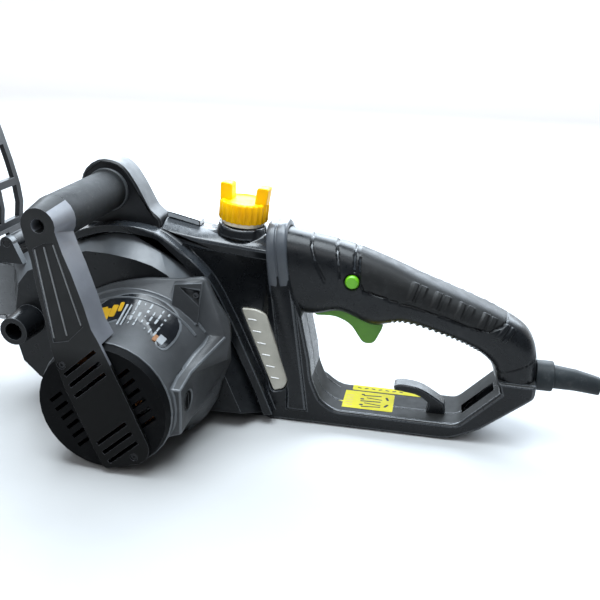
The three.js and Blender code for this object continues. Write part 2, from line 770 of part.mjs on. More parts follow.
const noseTeeth = 9;
const noseShape = new THREE.Shape();
for (let k = 0; k < 4 * noseTeeth; k++) {
  const angle = ((k + 0.5) * Math.PI) / (2 * noseTeeth);
  const radius = k % 4 < 2 ? noseWheel - 4 : noseWheel - 8;
  const u = barNoseX + radius * Math.cos(angle);
  const v = outputZ + radius * Math.sin(angle);
  if (k === 0) noseShape.moveTo(u, v);
  else noseShape.lineTo(u, v);
}
add(
  "nose_sprocket",
  cut(slab(noseShape, barY - 0.7, barY + 0.7), rodY(barNoseX, outputZ, -50, -20, 5.3)),
  0x8b8d90,
  0.35,
  0.9,
);

// The chain runs as one band: side plates, drive tangs below, cutters above.
const plateHeight = 5.5;
const linkHalf = 2.7;
const chainFloor = clear; // above the bar's edge
const bandSolid = cut(
  slab(beltShape(chainCircles, plateHeight), barY - linkHalf, barY + linkHalf, 1),
  slab(beltShape(chainCircles, chainFloor), barY - 6, barY + 6, 1),
);
const slope = (from, to) => Math.atan2(to[2] - from[2], to[0] - from[0]);
const tail = [62, 0, 23];
const runs = [
  { from: tail, to: barMiddle, start: 78 },
  { from: barMiddle, to: barNose, start: 232 },
];
const tangs = [];
const cutters = [];
for (const run of runs) {
  const lean = slope(run.from, run.to);
  const length = run.to[0] - run.start;
  const place = (geometry, x, side) => {
    const edge = run.from[2] + (x - run.from[0]) * Math.tan(lean);
    geometry.rotateY(-lean).translate(x, barY, edge);
    if (side < 0) geometry.scale(1, 1, -1);
    return solid(geometry.translate(0, 0, outputZ));
  };
  for (let x = run.start, k = 0; x < run.start + length; x += cutterPitch / 2, k++) {
    for (const side of [1, -1]) {
      tangs.push(place(new THREE.BoxGeometry(6, 1.3, 4.6).translate(0, 0, -1.2), x, side));
      if (k % 2) continue;
      const offset = (k / 2) % 2 ? 1.4 : -1.4;
      const rake = new THREE.Shape();
      rake.moveTo(-6, 4);
      rake.lineTo(7, 4);
      rake.lineTo(5.5, 9.6);
      rake.lineTo(-6, 8.4);
      const cutter = new THREE.ExtrudeGeometry(rake, { depth: 2.6, bevelEnabled: false });
      cutter.translate(0, 0, -1.3).rotateX(Math.PI / 2).translate(0, offset, 0);
      cutters.push(place(cutter, x + 9, side));
    }
  }
}
add("saw_chain", join(bandSolid, ...tangs, ...cutters), 0x7d7f82, 0.4, 0.9);

const padShape = outline([
  [-20, 40, 6], [6, 26, 6], [112, 30, 4], [112, 112, 6], [70, 118, 10], [-20, 112, 10],
]);
add(
  "bar_pad_plate",
  cut(
    slab(padShape, bodyRight - 3.3, bodyRight - clear),
    rodY(outputX, outputZ, -40, -20, 9),
    rodY(studX, outputZ, -40, -20, 4.3),
    block(72, 94, -40, -20, pinZ + 1.8, pinZ + 11.2),
    rodY(pump.x, pump.z, -40, -20, 2),
  ),
  0xa9acaf,
  0.35,
  0.9,
);
add("bar_stud", rodY(studX, outputZ, -66, -10.5, 4), 0xa9acaf, 0.35, 0.9);
add(
  "tension_screw",
  cut(
    join(rodX(tensionY, tensionZ, 67, 124, 2.5), rodX(tensionY, tensionZ, 118, 128, 4.2)),
    block(126.6, 130, tensionY - 0.6, tensionY + 0.6, tensionZ - 5, tensionZ + 5),
  ),
  0xa9acaf,
  0.35,
  0.9,
);
add(
  "tension_pin",
  cut(
    join(
      block(pinX - 5, pinX + 5, -25.4, tensionY + 6, tensionZ - 5, tensionZ + 5),
      block(pinX - 2.6, pinX + 2.6, -29.6, -23, tensionZ + 1, tensionZ + 9.4),
      rodY(pinX, pinZ + 6.5, -36.4, -27, 2.6, 2.6, 16),
    ).subtract(block(pinX - 9, pinX + 9, -25.6 - 4.4, -25.4, tensionZ - 6, tensionZ + 2.1)),
    rodX(tensionY, tensionZ, 60, 120, 2.8),
  ),
  0xa9acaf,
  0.35,
  0.9,
);

const coverOuter = outline([
  [-62, 30, 12], [0, 16, 20], [84, 18, 10], [110, 30, 8], [110, 116, 8], [60, 126, 14],
  [-30, 126, 20], [-66, 96, 14],
]);
const coverInner = outline([
  [-58, 33, 10], [0, 19.4, 18], [84, 21.4, 8], [106.6, 33, 6], [106.6, 113, 6], [60, 122.6, 12],
  [-29, 122.6, 18], [-62, 95, 12],
]);
const coverRight = -60;
add(
  "sprocket_cover",
  cut(
    join(
      cut(
        chamferedSlab(coverOuter, coverRight, bodyRight - clear, 2),
        slab(coverInner, coverRight + 3, 0),
      ),
      rodY(studX, outputZ, coverRight, -44, 9),
    ),
    block(90, 130, coverRight + 4, 0, 30, 118),
    rodY(studX, outputZ, -80, 0, 4.3),
    slab(outline([[-20.5, 39.5], [6, 25.5], [113, 29.5], [113, 112.5], [70, 118.5], [-20.5, 112.5]]),
      -30, -20),
  ),
  0x1b1d20,
  0.55,
);
const knobLobes = 8;
const knobShape = new THREE.Shape();
const knobPoints = Array.from({ length: 4 * knobLobes }, (_, k) => {
  const angle = (2 * Math.PI * k) / (4 * knobLobes);
  const radius = 25 + 1.6 * Math.cos(knobLobes * angle);
  return new THREE.Vector2(studX + radius * Math.cos(angle), outputZ + radius * Math.sin(angle));
});
knobShape.setFromPoints(knobPoints);
add(
  "clamp_knob",
  cut(
    join(slab(knobShape, -74, coverRight - clear), block(studX - 22, studX + 22, -84, -73, outputZ - 4,
      outputZ + 4)),
    rodY(studX, outputZ, -68, -50, 4.2),
  ),
  0x24262a,
  0.5,
);

const spikes = 5;
const bumperShape = new THREE.Shape();
bumperShape.moveTo(113, 34);
for (let k = 0; k < spikes; k++) {
  const low = 34 + k * 15;
  bumperShape.lineTo(130, low);
  bumperShape.lineTo(143, low + 7);
  bumperShape.lineTo(130, low + 12);
}
bumperShape.lineTo(113, 108);
add(
  "spiked_bumper",
  slab(bumperShape, bodyRight - 2.8, bodyRight - clear),
  0x9da0a3,
  0.35,
  0.9,
);

// ---------------------------------------------------------------- front handle and hand guard
const bossTurn = (inner, outer) => rodY(tube.x, tube.z, armRight, armLeft, inner, outer);
const armShape = outline([
  [1, 4, 4], [9, 24], [26, 70], [33, 97], [36, 124], [39, 146], [41, 168], [45.2, 190],
  [42, 201, 4], [33, 205.4, 5], [24, 201, 4], [21, 190], [17, 175], [12, 161], [5, 137],
  [1, 120], [-3, 112], [-11, 93], [-23, 63], [-37, 27, 4], [-33, 14, 6],
]);
const capDiscZone = rodY(0, motorZ, 90, 140, capRadius, capRadius, 36);
const armUpper = cut(
  slab(armShape, armRight, armLeft),
  block(-60, 60, 100, 140, -20, 92),
  rodY(0, motorZ, 90, capLeft + clear, casingRadius + 2, casingRadius + 2, 36),
);
const armBand = slab(armShape, capLeft + clear, armLeft).intersect(
  join(capDiscZone, block(-60, 60, 120, 130, 85, 140)),
);
const screwSeat = (x, z) => rodY(x, z, capLeft, 140, 3.2, 3.2, 16);
const bandScrews = [[27, 89], [-24, 18]];
add(
  "handle_arm_left",
  cut(
    join(armUpper, armBand, bossTurn(16.3, 12.6)),
    rodY(tube.x, tube.z, 114, 140, 5),
    rodY(tube.x, tube.z, 90, 140, 2.9),
    ...bandVents(120, 140),
    ...bandScrews.map(([x, z]) => screwSeat(x, z)),
  ),
  0x1d1f22,
  0.5,
);
const armFoot = bodyLeft - clear;
const rightEarShape = outline([
  [-11, 159.6], [-11, 171, 4], [-2, 178, 4], [9, 200, 8], [19, 215, 12], [38, 219, 12],
  [54, 208, 12], [58, 190, 10], [54, 159.6],
]);
add(
  "handle_arm_right",
  cut(chamferedSlab(rightEarShape, -4.3, armFoot, 1.5), block(-20, 70, -20, 40, 150, 159.4),
    rodY(tube.x, tube.z, -10, 30, 2.9)),
  0x1d1f22,
  0.5,
);
const tubeRight = bodyLeft;
const tubeLeft = armRight - clear;
add(
  "front_handle_tube",
  cut(
    rodY(tube.x, tube.z, tubeRight, tubeLeft, tube.radius, tube.radius, 32),
    rodY(tube.x, tube.z, 40, 84, 12.5),
    rodY(tube.x, tube.z, 0, 120, 2.9),
  ),
  0x2a2c30,
  0.6,
);
add(
  "handle_screw_left",
  join(rodY(tube.x, tube.z, 80, 115, 2.6), rodY(tube.x, tube.z, 114.3, 117.4, 4.6)),
  0x8b8d90,
  0.35,
  0.9,
);
bandScrews.forEach(([x, z], i) => {
  const head = cut(
    rodY(x, z, capLeft + 0.4, 127.4, 2.9, 2.9, 16),
    block(x - 1, x + 1, 126.4, 130, z - 1, z + 1),
  );
  add(i ? "band_screw_lower" : "band_screw_upper", head, 0x26282b, 0.45, 0.6);
});

const guardThick = 4.5;
const guardLine = [[116, 147], [120, 158], [117, 176], [118, 190], [122, 210], [128, 234], [135, 258]];
const guardOutline = outline([
  ...guardLine.map(([x, z]) => [x - guardThick / 2, z]),
  ...guardLine
    .slice()
    .reverse()
    .map(([x, z]) => [x + guardThick / 2, z]),
]);
const guardSpan = { right: 10, left: 124 };
const hingeSpan = { right: 12, left: 34 };
const guardWindows = [];
const windowSize = { y: 22, z: 27 };
for (let row = 0; row < 3; row++) {
  for (let column = 0; column < 4; column++) {
    const y = guardSpan.right + 6 + column * 27;
    const z = 164 + row * 33;
    guardWindows.push(block(90, 160, y, y + windowSize.y, z, z + windowSize.z));
  }
}
add(
  "hand_guard",
  cut(
    join(
      slab(guardOutline, guardSpan.right, guardSpan.left),
      rodY(guardPivot.x, guardPivot.z, hingeSpan.right, hingeSpan.left, hingeRadius),
    ),
    block(90, 150, -10, hingeSpan.right, 130, 155),
    block(90, 150, hingeSpan.left, 140, 130, 155),
    ...guardWindows,
    rodY(guardPivot.x, guardPivot.z, -10, 80, 3.15),
  ),
  0x222428,
  0.5,
);
add("guard_pivot_pin", rodY(guardPivot.x, guardPivot.z, 3.2, 40.8, 3, 3, 16), 0xa9acaf, 0.35, 0.9);

// ---------------------------------------------------------------- deck and rear handle fittings
const insertShape = outline([
  [-40, 164.2], [-40, 169, 2], [-14, 175, 3], [-11.9, 175], [-11.9, 170.6],
]);
add(
  "deck_insert",
  slab(insertShape, -6, 6.5).subtract(deck),
  0x0c0d10,
  0.12,
);

const triggerShape = outline([
  [-136, 104, 4], [-138, 95, 2], [-155, 96, 6], [-168, 90, 6], [-179, 73.5, 4], [-188, 74, 4],
  [-195, 90, 3], [-191, 110, 4], [-150, 121, 6], [-138, 119, 4],
]);
add(
  "trigger",
  chamferedSlab(triggerShape, -triggerHalfWidth, triggerHalfWidth, 1.2),
  0x3a7d14,
  0.45,
);

class Helix extends THREE.Curve {
  constructor(x, z0, z1, radius, turns) {
    super();
    Object.assign(this, { x, z0, z1, radius, turns });
  }
  getPoint(t, target = new THREE.Vector3()) {
    const angle = 2 * Math.PI * this.turns * t;
    const z = this.z0 + (this.z1 - this.z0) * t;
    return target.set(this.x + this.radius * Math.cos(angle), this.radius * Math.sin(angle), z);
  }
}
function wire(curve, radius, steps, sides) {
  const section = new THREE.Shape();
  for (let k = 0; k < sides; k++) {
    const angle = (2 * Math.PI * k) / sides;
    if (k === 0) section.moveTo(radius, 0);
    else section.lineTo(radius * Math.cos(angle), radius * Math.sin(angle));
  }
  return solid(new THREE.ExtrudeGeometry(section, { steps, extrudePath: curve, bevelEnabled: false }));
}
add("trigger_spring", wire(new Helix(-181, 116, 140, 3.4, 4), 0.5, 32, 5), 0xa9acaf, 0.35, 0.9);
add(
  "lock_button",
  join(
    rodY(lockButton.x, lockButton.z, 12, 20, 5.8),
    rodY(lockButton.x, lockButton.z, 20, 22, 5.8, 4.6),
    rodY(lockButton.x, lockButton.z, 2, 13, 3.4),
  ),
  0x7cc81e,
  0.4,
);
add(
  "switch_module",
  join(block(-236, -206, -8, 8, 110, 119.5), block(-242, -235, -5, 5, 108, 116)),
  0x1b1b1c,
  0.5,
);
const hookShape = outline([
  [-252, 15.3], [-251, 25, 3], [-230, 38, 8], [-213, 39.5, 4], [-207, 37, 2], [-208, 33],
  [-228, 31, 8], [-238, 24, 3], [-236, 15.3],
]);
add("cord_hook", chamferedSlab(hookShape, -6, 7, 1), 0x1b1d20, 0.55);

// ---------------------------------------------------------------- supply cord
add(
  "cord_gland",
  cut(
    join(
      rodX(0, glandZ, -319, -306, 8),
      rodX(0, glandZ, -334, -320.3, 12.5),
      rodX(0, glandZ, -320.6, -318, 8),
      loft(
        [[-333, glandZ, 9.8], [-352, glandZ - 1.2, 8.8], [-371, glandZ - 4.5, 7.4]].map(
          ([x, z, radius]) =>
            Array.from({ length: 16 }, (_, k) => {
              const angle = (2 * Math.PI * k) / 16;
              return new THREE.Vector3(
                x,
                radius * Math.cos(angle),
                z + radius * Math.sin(angle),
              );
            }),
        ),
      ),
    ),
  ),
  0x24282e,
  0.7,
);
const cordCurve = new THREE.CatmullRomCurve3(
  [
    [-372.4, 0, 54], [-392, 0, 49], [-416, -1, 30], [-440, -3, 11], [-470, -8, 4.8],
    [-506, -24, 4.6], [-534, -58, 4.6], [-536, -94, 4.6], [-518, -118, 6], [-494, -122, 12],
    [-470, -122, 16.5],
  ].map(([x, y, z]) => new THREE.Vector3(x, y, z)),
);
add("cord", wire(cordCurve, cordRadius, 40, 8), 0x1a1c1f, 0.65);
const plug = { x: -467, y: -122, z: 16.5, pinApart: 9.5 };
const plugPin = (side) =>
  rodX(plug.y + side * plug.pinApart, plug.z, plug.x + 35, plug.x + 55, 2.4, 2.4, 12);
add(
  "plug",
  join(
    rodX(plug.y, plug.z, plug.x, plug.x + 18, 7, 15),
    rodX(plug.y, plug.z, plug.x + 17.8, plug.x + 36, 16),
    plugPin(1),
    plugPin(-1),
  ),
  0x1a1c1f,
  0.6,
);

export default object;
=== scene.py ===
import bpy
import bmesh
import json
import math
import numpy as np
from mathutils import Matrix, Vector

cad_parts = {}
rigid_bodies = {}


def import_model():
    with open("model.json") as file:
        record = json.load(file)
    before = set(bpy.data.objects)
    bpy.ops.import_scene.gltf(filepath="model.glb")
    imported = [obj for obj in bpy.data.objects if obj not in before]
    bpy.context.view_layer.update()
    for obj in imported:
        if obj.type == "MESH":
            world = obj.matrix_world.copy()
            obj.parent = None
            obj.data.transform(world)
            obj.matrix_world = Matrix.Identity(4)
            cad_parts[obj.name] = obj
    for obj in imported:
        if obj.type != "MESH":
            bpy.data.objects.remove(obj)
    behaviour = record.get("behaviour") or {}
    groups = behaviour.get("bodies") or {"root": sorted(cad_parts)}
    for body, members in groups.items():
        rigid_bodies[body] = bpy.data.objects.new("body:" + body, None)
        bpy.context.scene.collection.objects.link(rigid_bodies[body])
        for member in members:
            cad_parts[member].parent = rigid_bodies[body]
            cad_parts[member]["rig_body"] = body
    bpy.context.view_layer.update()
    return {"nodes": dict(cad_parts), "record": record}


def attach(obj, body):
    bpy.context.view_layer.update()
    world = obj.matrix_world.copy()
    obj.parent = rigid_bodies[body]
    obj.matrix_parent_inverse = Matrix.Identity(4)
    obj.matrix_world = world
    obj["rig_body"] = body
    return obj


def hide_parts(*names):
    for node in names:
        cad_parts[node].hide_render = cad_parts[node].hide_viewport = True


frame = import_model()
nodes = frame["nodes"]
MM = 0.001


# ---------------------------------------------------------------- camera, floor and light
camera = bpy.data.objects.new("camera", bpy.data.cameras.new("camera"))
bpy.context.scene.collection.objects.link(camera)
camera_place = (-0.2301, 0.5600, 0.3352)
camera_right = Vector((-0.98060872, -0.19488283, 0.02066941))
camera_up = Vector((0.09188051, -0.36402101, 0.92684771))
camera_back = Vector((-0.1731026, 0.91077406, 0.37486811))
camera_turn = Matrix((camera_right, camera_up, camera_back)).transposed().to_4x4()
camera.matrix_world = Matrix.Translation(camera_place) @ camera_turn
camera.data.lens = 43.9
camera.data.sensor_width = 36
camera.data.clip_start = 0.01
bpy.context.scene.camera = camera


def area_light(name, place, target, size, power, colour):
    light = bpy.data.lights.new(name, "AREA")
    light.shape = "RECTANGLE"
    light.size, light.size_y = size
    light.energy = power
    light.color = colour
    lamp = bpy.data.objects.new(name, light)
    bpy.context.scene.collection.objects.link(lamp)
    lamp.location = place
    aim = Vector(target) - Vector(place)
    lamp.visible_camera = False
    lamp.rotation_mode = "QUATERNION"
    lamp.rotation_quaternion = aim.to_track_quat("-Z", "Y")


area_light("window_behind", (-0.1, -1.35, 1.0), (-0.05, 0, 0.1), (2.6, 1.25), 98, (0.78, 0.89, 1.0))
area_light("ceiling", (0.0, 0.1, 1.5), (-0.05, 0, 0.08), (1.6, 0.9), 58, (0.84, 0.93, 1.0))
area_light("front_high", (0.1, 1.15, 1.2), (-0.1, 0, 0.1), (1.4, 0.5), 7, (0.92, 0.96, 1.0))
area_light("left_fill", (1.3, 1.2, 0.7), (0, 0, 0.08), (0.6, 0.6), 3, (1.0, 0.98, 0.95))
bpy.context.scene.view_settings.view_transform = "Standard"

world = bpy.data.worlds.new("studio")
bpy.context.scene.world = world
world.use_nodes = True
world.node_tree.nodes["Background"].inputs["Color"].default_value = (0.9, 0.94, 1.0, 1)
world.node_tree.nodes["Background"].inputs["Strength"].default_value = 0.13


# ---------------------------------------------------------------- materials
class Look:
    """A procedural material: helpers that add nodes, with object coordinates in metres."""

    def __init__(self, name):
        self.material = bpy.data.materials.new(name)
        self.material.use_nodes = True
        self.tree = self.material.node_tree
        self.shader = self.tree.nodes["Principled BSDF"]
        self.where = self.tree.nodes.new("ShaderNodeTexCoord").outputs["Object"]

    def link(self, source, target):
        self.tree.links.new(source, target)

    def stretched(self, scale, turn=(0, 0, 0)):
        mapping = self.tree.nodes.new("ShaderNodeMapping")
        mapping.inputs["Scale"].default_value = scale
        mapping.inputs["Rotation"].default_value = turn
        self.link(self.where, mapping.inputs["Vector"])
        return mapping.outputs["Vector"]

    def noise(self, scale, detail=3.0, rough=0.55, where=None):
        made = self.tree.nodes.new("ShaderNodeTexNoise")
        made.inputs["Scale"].default_value = scale
        made.inputs["Detail"].default_value = detail
        made.inputs["Roughness"].default_value = rough
        self.link(where or self.where, made.inputs["Vector"])
        return made.outputs["Fac"]

    def ramp(self, value, low, high, to_low=0.0, to_high=1.0):
        made = self.tree.nodes.new("ShaderNodeMapRange")
        for key, number in zip(
            ("From Min", "From Max", "To Min", "To Max"), (low, high, to_low, to_high)
        ):
            made.inputs[key].default_value = number
        self.link(value, made.inputs["Value"])
        return made.outputs["Result"]

    def times(self, a, b):
        made = self.tree.nodes.new("ShaderNodeMath")
        made.operation = "MULTIPLY"
        self.link(a, made.inputs[0])
        self.link(b, made.inputs[1])
        return made.outputs[0]

    def mixed(self, factor, a, b):
        made = self.tree.nodes.new("ShaderNodeMix")
        made.data_type = "RGBA"
        self.link(factor, made.inputs["Factor"])
        for socket, value in ((made.inputs["A"], a), (made.inputs["B"], b)):
            if isinstance(value, tuple):
                socket.default_value = (*value, 1)
            else:
                self.link(value, socket)
        return made.outputs["Result"]

    def bumped(self, heights):
        normal = None
        for height, strength, distance in heights:
            bump = self.tree.nodes.new("ShaderNodeBump")
            bump.inputs["Strength"].default_value = strength
            bump.inputs["Distance"].default_value = distance
            self.link(height, bump.inputs["Height"])
            if normal:
                self.link(normal, bump.inputs["Normal"])
            normal = bump.outputs["Normal"]
        self.link(normal, self.shader.inputs["Normal"])


def scaled(colour, factor):
    return tuple(min(1.0, c * factor) for c in colour)


def plastic(name, colour, roughness, grain=0.3, grain_size=0.7, wear=0.25, dust=0.35, coat=0.0,
            gloss=0.5, dark_below=None):
    """Moulded plastic: fine grain, faint patches, rubbed spots, hairline scratches and dust.

    dark_below is a pair of heights in metres, between which it darkens downwards.
    """
    look = Look(name)
    patches = look.noise(22, 4)
    blotches = look.noise(140, 3)
    grainy = look.noise(1000 / grain_size, 2, 0.7)
    scratches = look.noise(1, 2, 0.6, look.stretched((60, 900, 900), (0.3, 0.5, 0.7)))
    crossing = look.noise(1, 2, 0.6, look.stretched((700, 50, 700), (0.9, 0.1, 0.4)))
    base = look.mixed(look.ramp(patches, 0.35, 0.68), scaled(colour, 0.8), scaled(colour, 1.25))
    scratched = look.times(look.ramp(scratches, 0.66, 0.72), look.ramp(blotches, 0.4, 0.62))
    crossed = look.times(look.ramp(crossing, 0.68, 0.73), look.ramp(patches, 0.45, 0.62))
    worn = look.times(look.ramp(blotches, 0.5, 0.7), look.ramp(patches, 0.5, 0.66))
    rubbed = look.ramp(worn, 0, 1, 0, wear)
    pale = tuple(0.12 + 0.8 * c for c in colour)
    base = look.mixed(rubbed, base, scaled(pale, 0.7))
    base = look.mixed(look.ramp(scratched, 0, 1, 0, 0.35 * wear), base, pale)
    base = look.mixed(look.ramp(crossed, 0, 1, 0, 0.35 * wear), base, pale)
    specks = look.times(look.ramp(look.noise(1500, 1, 0.4), 0.68, 0.75), look.ramp(blotches, 0.42, 0.6))
    base = look.mixed(look.ramp(specks, 0, 1, 0, 0.3 * dust), base, (0.42, 0.41, 0.38))
    if dark_below:
        apart = look.tree.nodes.new("ShaderNodeSeparateXYZ")
        look.link(look.where, apart.inputs["Vector"])
        base = look.mixed(look.ramp(apart.outputs["Z"], *dark_below), scaled(colour, 0.12), base)
    look.link(base, look.shader.inputs["Base Color"])
    rough = look.ramp(blotches, 0.3, 0.7, roughness - 0.07, roughness + 0.07)
    look.link(rough, look.shader.inputs["Roughness"])
    look.bumped([(grainy, grain, 0.00012), (patches, 0.08, 0.0008), (scratched, -0.15 * wear, 0.0001)])
    look.shader.inputs["Specular IOR Level"].default_value = gloss
    look.shader.inputs["Coat Weight"].default_value = coat
    look.shader.inputs["Coat Roughness"].default_value = 0.12
    return look.material


def metal(name, colour, roughness, along=(1, 0, 0), marks=0.3, oil=0.0, darker_behind=None):
    """Machined or ground steel: fine lines along one direction, stains and an oil film.

    darker_behind is a pair of X in metres, between which it goes from a dark, non-metallic colour at the
    rear to steel at the front.
    """
    look = Look(name)
    stretch = tuple(40 if a else 1400 for a in along)
    lines = look.noise(1, 3, 0.6, look.stretched(stretch))
    patches = look.noise(30, 4)
    stains = look.noise(160, 5, 0.65)
    base = look.mixed(look.ramp(lines, 0.3, 0.7), scaled(colour, 0.78), scaled(colour, 1.12))
    base = look.mixed(look.ramp(stains, 0.58, 0.72, 0, marks), base, (0.1, 0.075, 0.055))
    base = look.mixed(look.ramp(patches, 0.45, 0.7, 0, oil), base, (0.03, 0.027, 0.022))
    if darker_behind:
        apart = look.tree.nodes.new("ShaderNodeSeparateXYZ")
        look.link(look.where, apart.inputs["Vector"])
        towards_front = look.ramp(apart.outputs["X"], *darker_behind)
        base = look.mixed(towards_front, (0.022, 0.025, 0.028), base)
        look.link(towards_front, look.shader.inputs["Metallic"])
    else:
        look.shader.inputs["Metallic"].default_value = 1.0
    look.link(base, look.shader.inputs["Base Color"])
    rough = look.ramp(stains, 0.35, 0.7, roughness - 0.06, roughness + 0.18)
    look.link(rough, look.shader.inputs["Roughness"])
    look.bumped([(lines, 0.25, 0.00006), (stains, 0.15, 0.0001)])
    return look.material


def wound(name, colour):
    """Enamelled wire: fine turns side by side."""
    look = Look(name)
    turns = look.tree.nodes.new("ShaderNodeTexWave")
    turns.inputs["Scale"].default_value = 260
    turns.inputs["Distortion"].default_value = 0.6
    look.link(look.where, turns.inputs["Vector"])
    base = look.mixed(turns.outputs["Fac"], scaled(colour, 0.45), colour)
    look.link(base, look.shader.inputs["Base Color"])
    look.link(look.ramp(look.noise(120), 0.3, 0.7, 0.28, 0.42), look.shader.inputs["Roughness"])
    look.shader.inputs["Metallic"].default_value = 0.8
    look.bumped([(turns.outputs["Fac"], 0.6, 0.0003)])
    return look.material


def floor_look():
    """A matt pale floor that glows a little, far behind the object."""
    look = Look("pale_floor")
    base = look.mixed(look.ramp(look.noise(6, 3), 0.3, 0.7), (0.38, 0.38, 0.38), (0.40, 0.40, 0.40))
    apart = look.tree.nodes.new("ShaderNodeSeparateXYZ")
    look.link(look.where, apart.inputs["Vector"])
    look.shader.inputs["Emission Color"].default_value = (0.96, 0.98, 1.0, 1)
    look.link(look.ramp(apart.outputs["Y"], -0.9, -2.4, 0.0, 0.85), look.shader.inputs["Emission Strength"])
    look.link(base, look.shader.inputs["Base Color"])
    look.link(look.ramp(look.noise(30), 0.3, 0.7, 0.6, 0.75), look.shader.inputs["Roughness"])
    look.bumped([(look.noise(300, 2), 0.05, 0.0005)])
    return look.material


plastics = {
    "body_plastic": dict(colour=(0.006, 0.0068, 0.008), roughness=0.30, grain=0.26, wear=0.1, dust=0.15,
        gloss=0.26),
    # body_painted_highlight: a lighter, glossier copy of the body plastic, a painted highlight on rounded
    # edges and upward faces
    "body_painted_highlight": dict(colour=(0.02, 0.023, 0.027), roughness=0.28, grain=0.2, gloss=0.6),
    "case_plastic": dict(colour=(0.006, 0.0068, 0.008), roughness=0.32, grain=0.28, wear=0.1, dust=0.15,
        gloss=0.24),
    "motor_plastic": dict(colour=(0.042, 0.044, 0.047), roughness=0.42, grain=0.55, grain_size=0.9,
        gloss=0.3),
    # motor_edge: a lighter copy of the motor plastic, a painted highlight on rounded edges, beads and the
    # label's frame
    "motor_edge": dict(colour=(0.085, 0.092, 0.10), roughness=0.34, grain=0.3, grain_size=0.9),
    "cap_black": dict(colour=(0.0018, 0.002, 0.0025), roughness=0.55, grain=0.3, wear=0.06, dust=0.1,
        gloss=0.06),
    # cap_painted_highlight: a lighter copy of the cap black, a painted highlight on rounded edges
    "cap_painted_highlight": dict(colour=(0.02, 0.021, 0.023), roughness=0.42, grain=0.2),
    "arm_plastic": dict(colour=(0.009, 0.0095, 0.011), roughness=0.38, grain=0.35, wear=0.12, dust=0.15,
        gloss=0.28),
    "arm_left": dict(colour=(0.024, 0.0245, 0.025), roughness=0.42, grain=0.35, wear=0.06, dust=0.1,
        gloss=0.1, dark_below=(0.088, 0.104)),
    # arm_rear_painted_highlight: a lighter copy of the left arm's plastic, a painted highlight on its rear
    # side faces and rounded edges
    "arm_rear_painted_highlight": dict(colour=(0.12, 0.125, 0.14), roughness=0.4, grain=0.3, grain_size=0.8),
    # arm_edge: a lighter copy of the arm plastic, a painted highlight on rounded edges and the tube's
    # collar ring
    "arm_edge": dict(colour=(0.05, 0.054, 0.058), roughness=0.36, grain=0.2),
    # arm_line: a light grey for thin ribs, painted highlights standing for the lit edges of shallow grooves
    "arm_line": dict(colour=(0.17, 0.175, 0.18), roughness=0.36, grain=0.2),
    "tube_plastic": dict(colour=(0.013, 0.0137, 0.0145), roughness=0.6, grain=0.5, grain_size=0.9,
        gloss=0.1),
    "grip_rubber": dict(colour=(0.0075, 0.0078, 0.008), roughness=0.46, grain=0.45, grain_size=0.8,
        wear=0.1, dust=0.15, gloss=0.24),
    "trigger_green": dict(colour=(0.075, 0.24, 0.006), roughness=0.38, grain=0.2, grain_size=0.6,
        wear=0.15, dust=0.25),
    "button_green": dict(colour=(0.10, 0.33, 0.008), roughness=0.34, grain=0.15, grain_size=0.6,
        wear=0.1, dust=0.15),
    "cap_yellow": dict(colour=(1.0, 0.46, 0.0), roughness=0.42, grain=0.2, grain_size=0.7, wear=0.1,
        dust=0.25, gloss=0.12),
    "seal_cream": dict(colour=(0.78, 0.70, 0.54), roughness=0.5, grain=0.2, grain_size=0.7, wear=0.1,
        dust=0.4),
    "window_cream": dict(colour=(0.42, 0.40, 0.34), roughness=0.35, grain=0.25, grain_size=0.7,
        wear=0.1, dust=0.3, coat=0.2),
    "tick_white": dict(colour=(0.86, 0.85, 0.82), roughness=0.4, grain=0.1, grain_size=0.7, wear=0.1,
        dust=0.2),
    "tank_plastic": dict(colour=(0.45, 0.42, 0.36), roughness=0.42, grain=0.3),
    "gloss_black": dict(colour=(0.006, 0.007, 0.009), roughness=0.2, grain=0.03, grain_size=0.8,
        wear=0.1, dust=0.15, coat=0.04, gloss=0.3),
    # deck_gloss: its pale bluish grey is a painted reflection on a glossy insert
    "deck_gloss": dict(colour=(0.34, 0.36, 0.38), roughness=0.16, grain=0.05, grain_size=0.8, wear=0.2,
        dust=0.4, coat=0.6),
    # collar_painted_highlight: a lighter bluish grey for the handle collar, a painted highlight
    "collar_painted_highlight": dict(colour=(0.055, 0.062, 0.072), roughness=0.34, grain=0.25, gloss=0.5),
    # case_painted_highlight: a lighter bluish copy of the case plastic, a painted highlight on the gear
    # case's rounded edges and upward faces
    "case_painted_highlight": dict(colour=(0.085, 0.092, 0.1), roughness=0.42, grain=0.35),
    "loop_plastic": dict(colour=(0.022, 0.0225, 0.0225), roughness=0.5, grain=0.35, wear=0.1, dust=0.2,
        gloss=0.05),
    "black_parts": dict(colour=(0.012, 0.012, 0.013), roughness=0.45, grain=0.3),
    "carbon": dict(colour=(0.02, 0.02, 0.021), roughness=0.6, grain=0.4),
    "cord_rubber": dict(colour=(0.012, 0.015, 0.017), roughness=0.5, grain=0.25, grain_size=0.6,
        wear=0.2, dust=0.4, gloss=0.2),
    "label_yellow": dict(colour=(0.36, 0.32, 0.0), roughness=0.6, grain=0.05, grain_size=0.7, wear=0.12,
        dust=0.4, gloss=0.1),
    "label_black": dict(colour=(0.012, 0.012, 0.012), roughness=0.7, grain=0.05, grain_size=0.7,
        wear=0.1, dust=0.3, gloss=0.15),
    "label_silver": dict(colour=(0.27, 0.285, 0.30), roughness=0.35, grain=0.05, grain_size=0.7,
        wear=0.2, dust=0.3, gloss=0.3),
    "label_amber": dict(colour=(0.42, 0.24, 0.01), roughness=0.4, grain=0.05, grain_size=0.7, wear=0.2,
        dust=0.3, gloss=0.2),
    "stain_brown": dict(colour=(0.23, 0.10, 0.035), roughness=0.5, grain=0.2, grain_size=0.7, wear=0.4,
        dust=0.5),
}
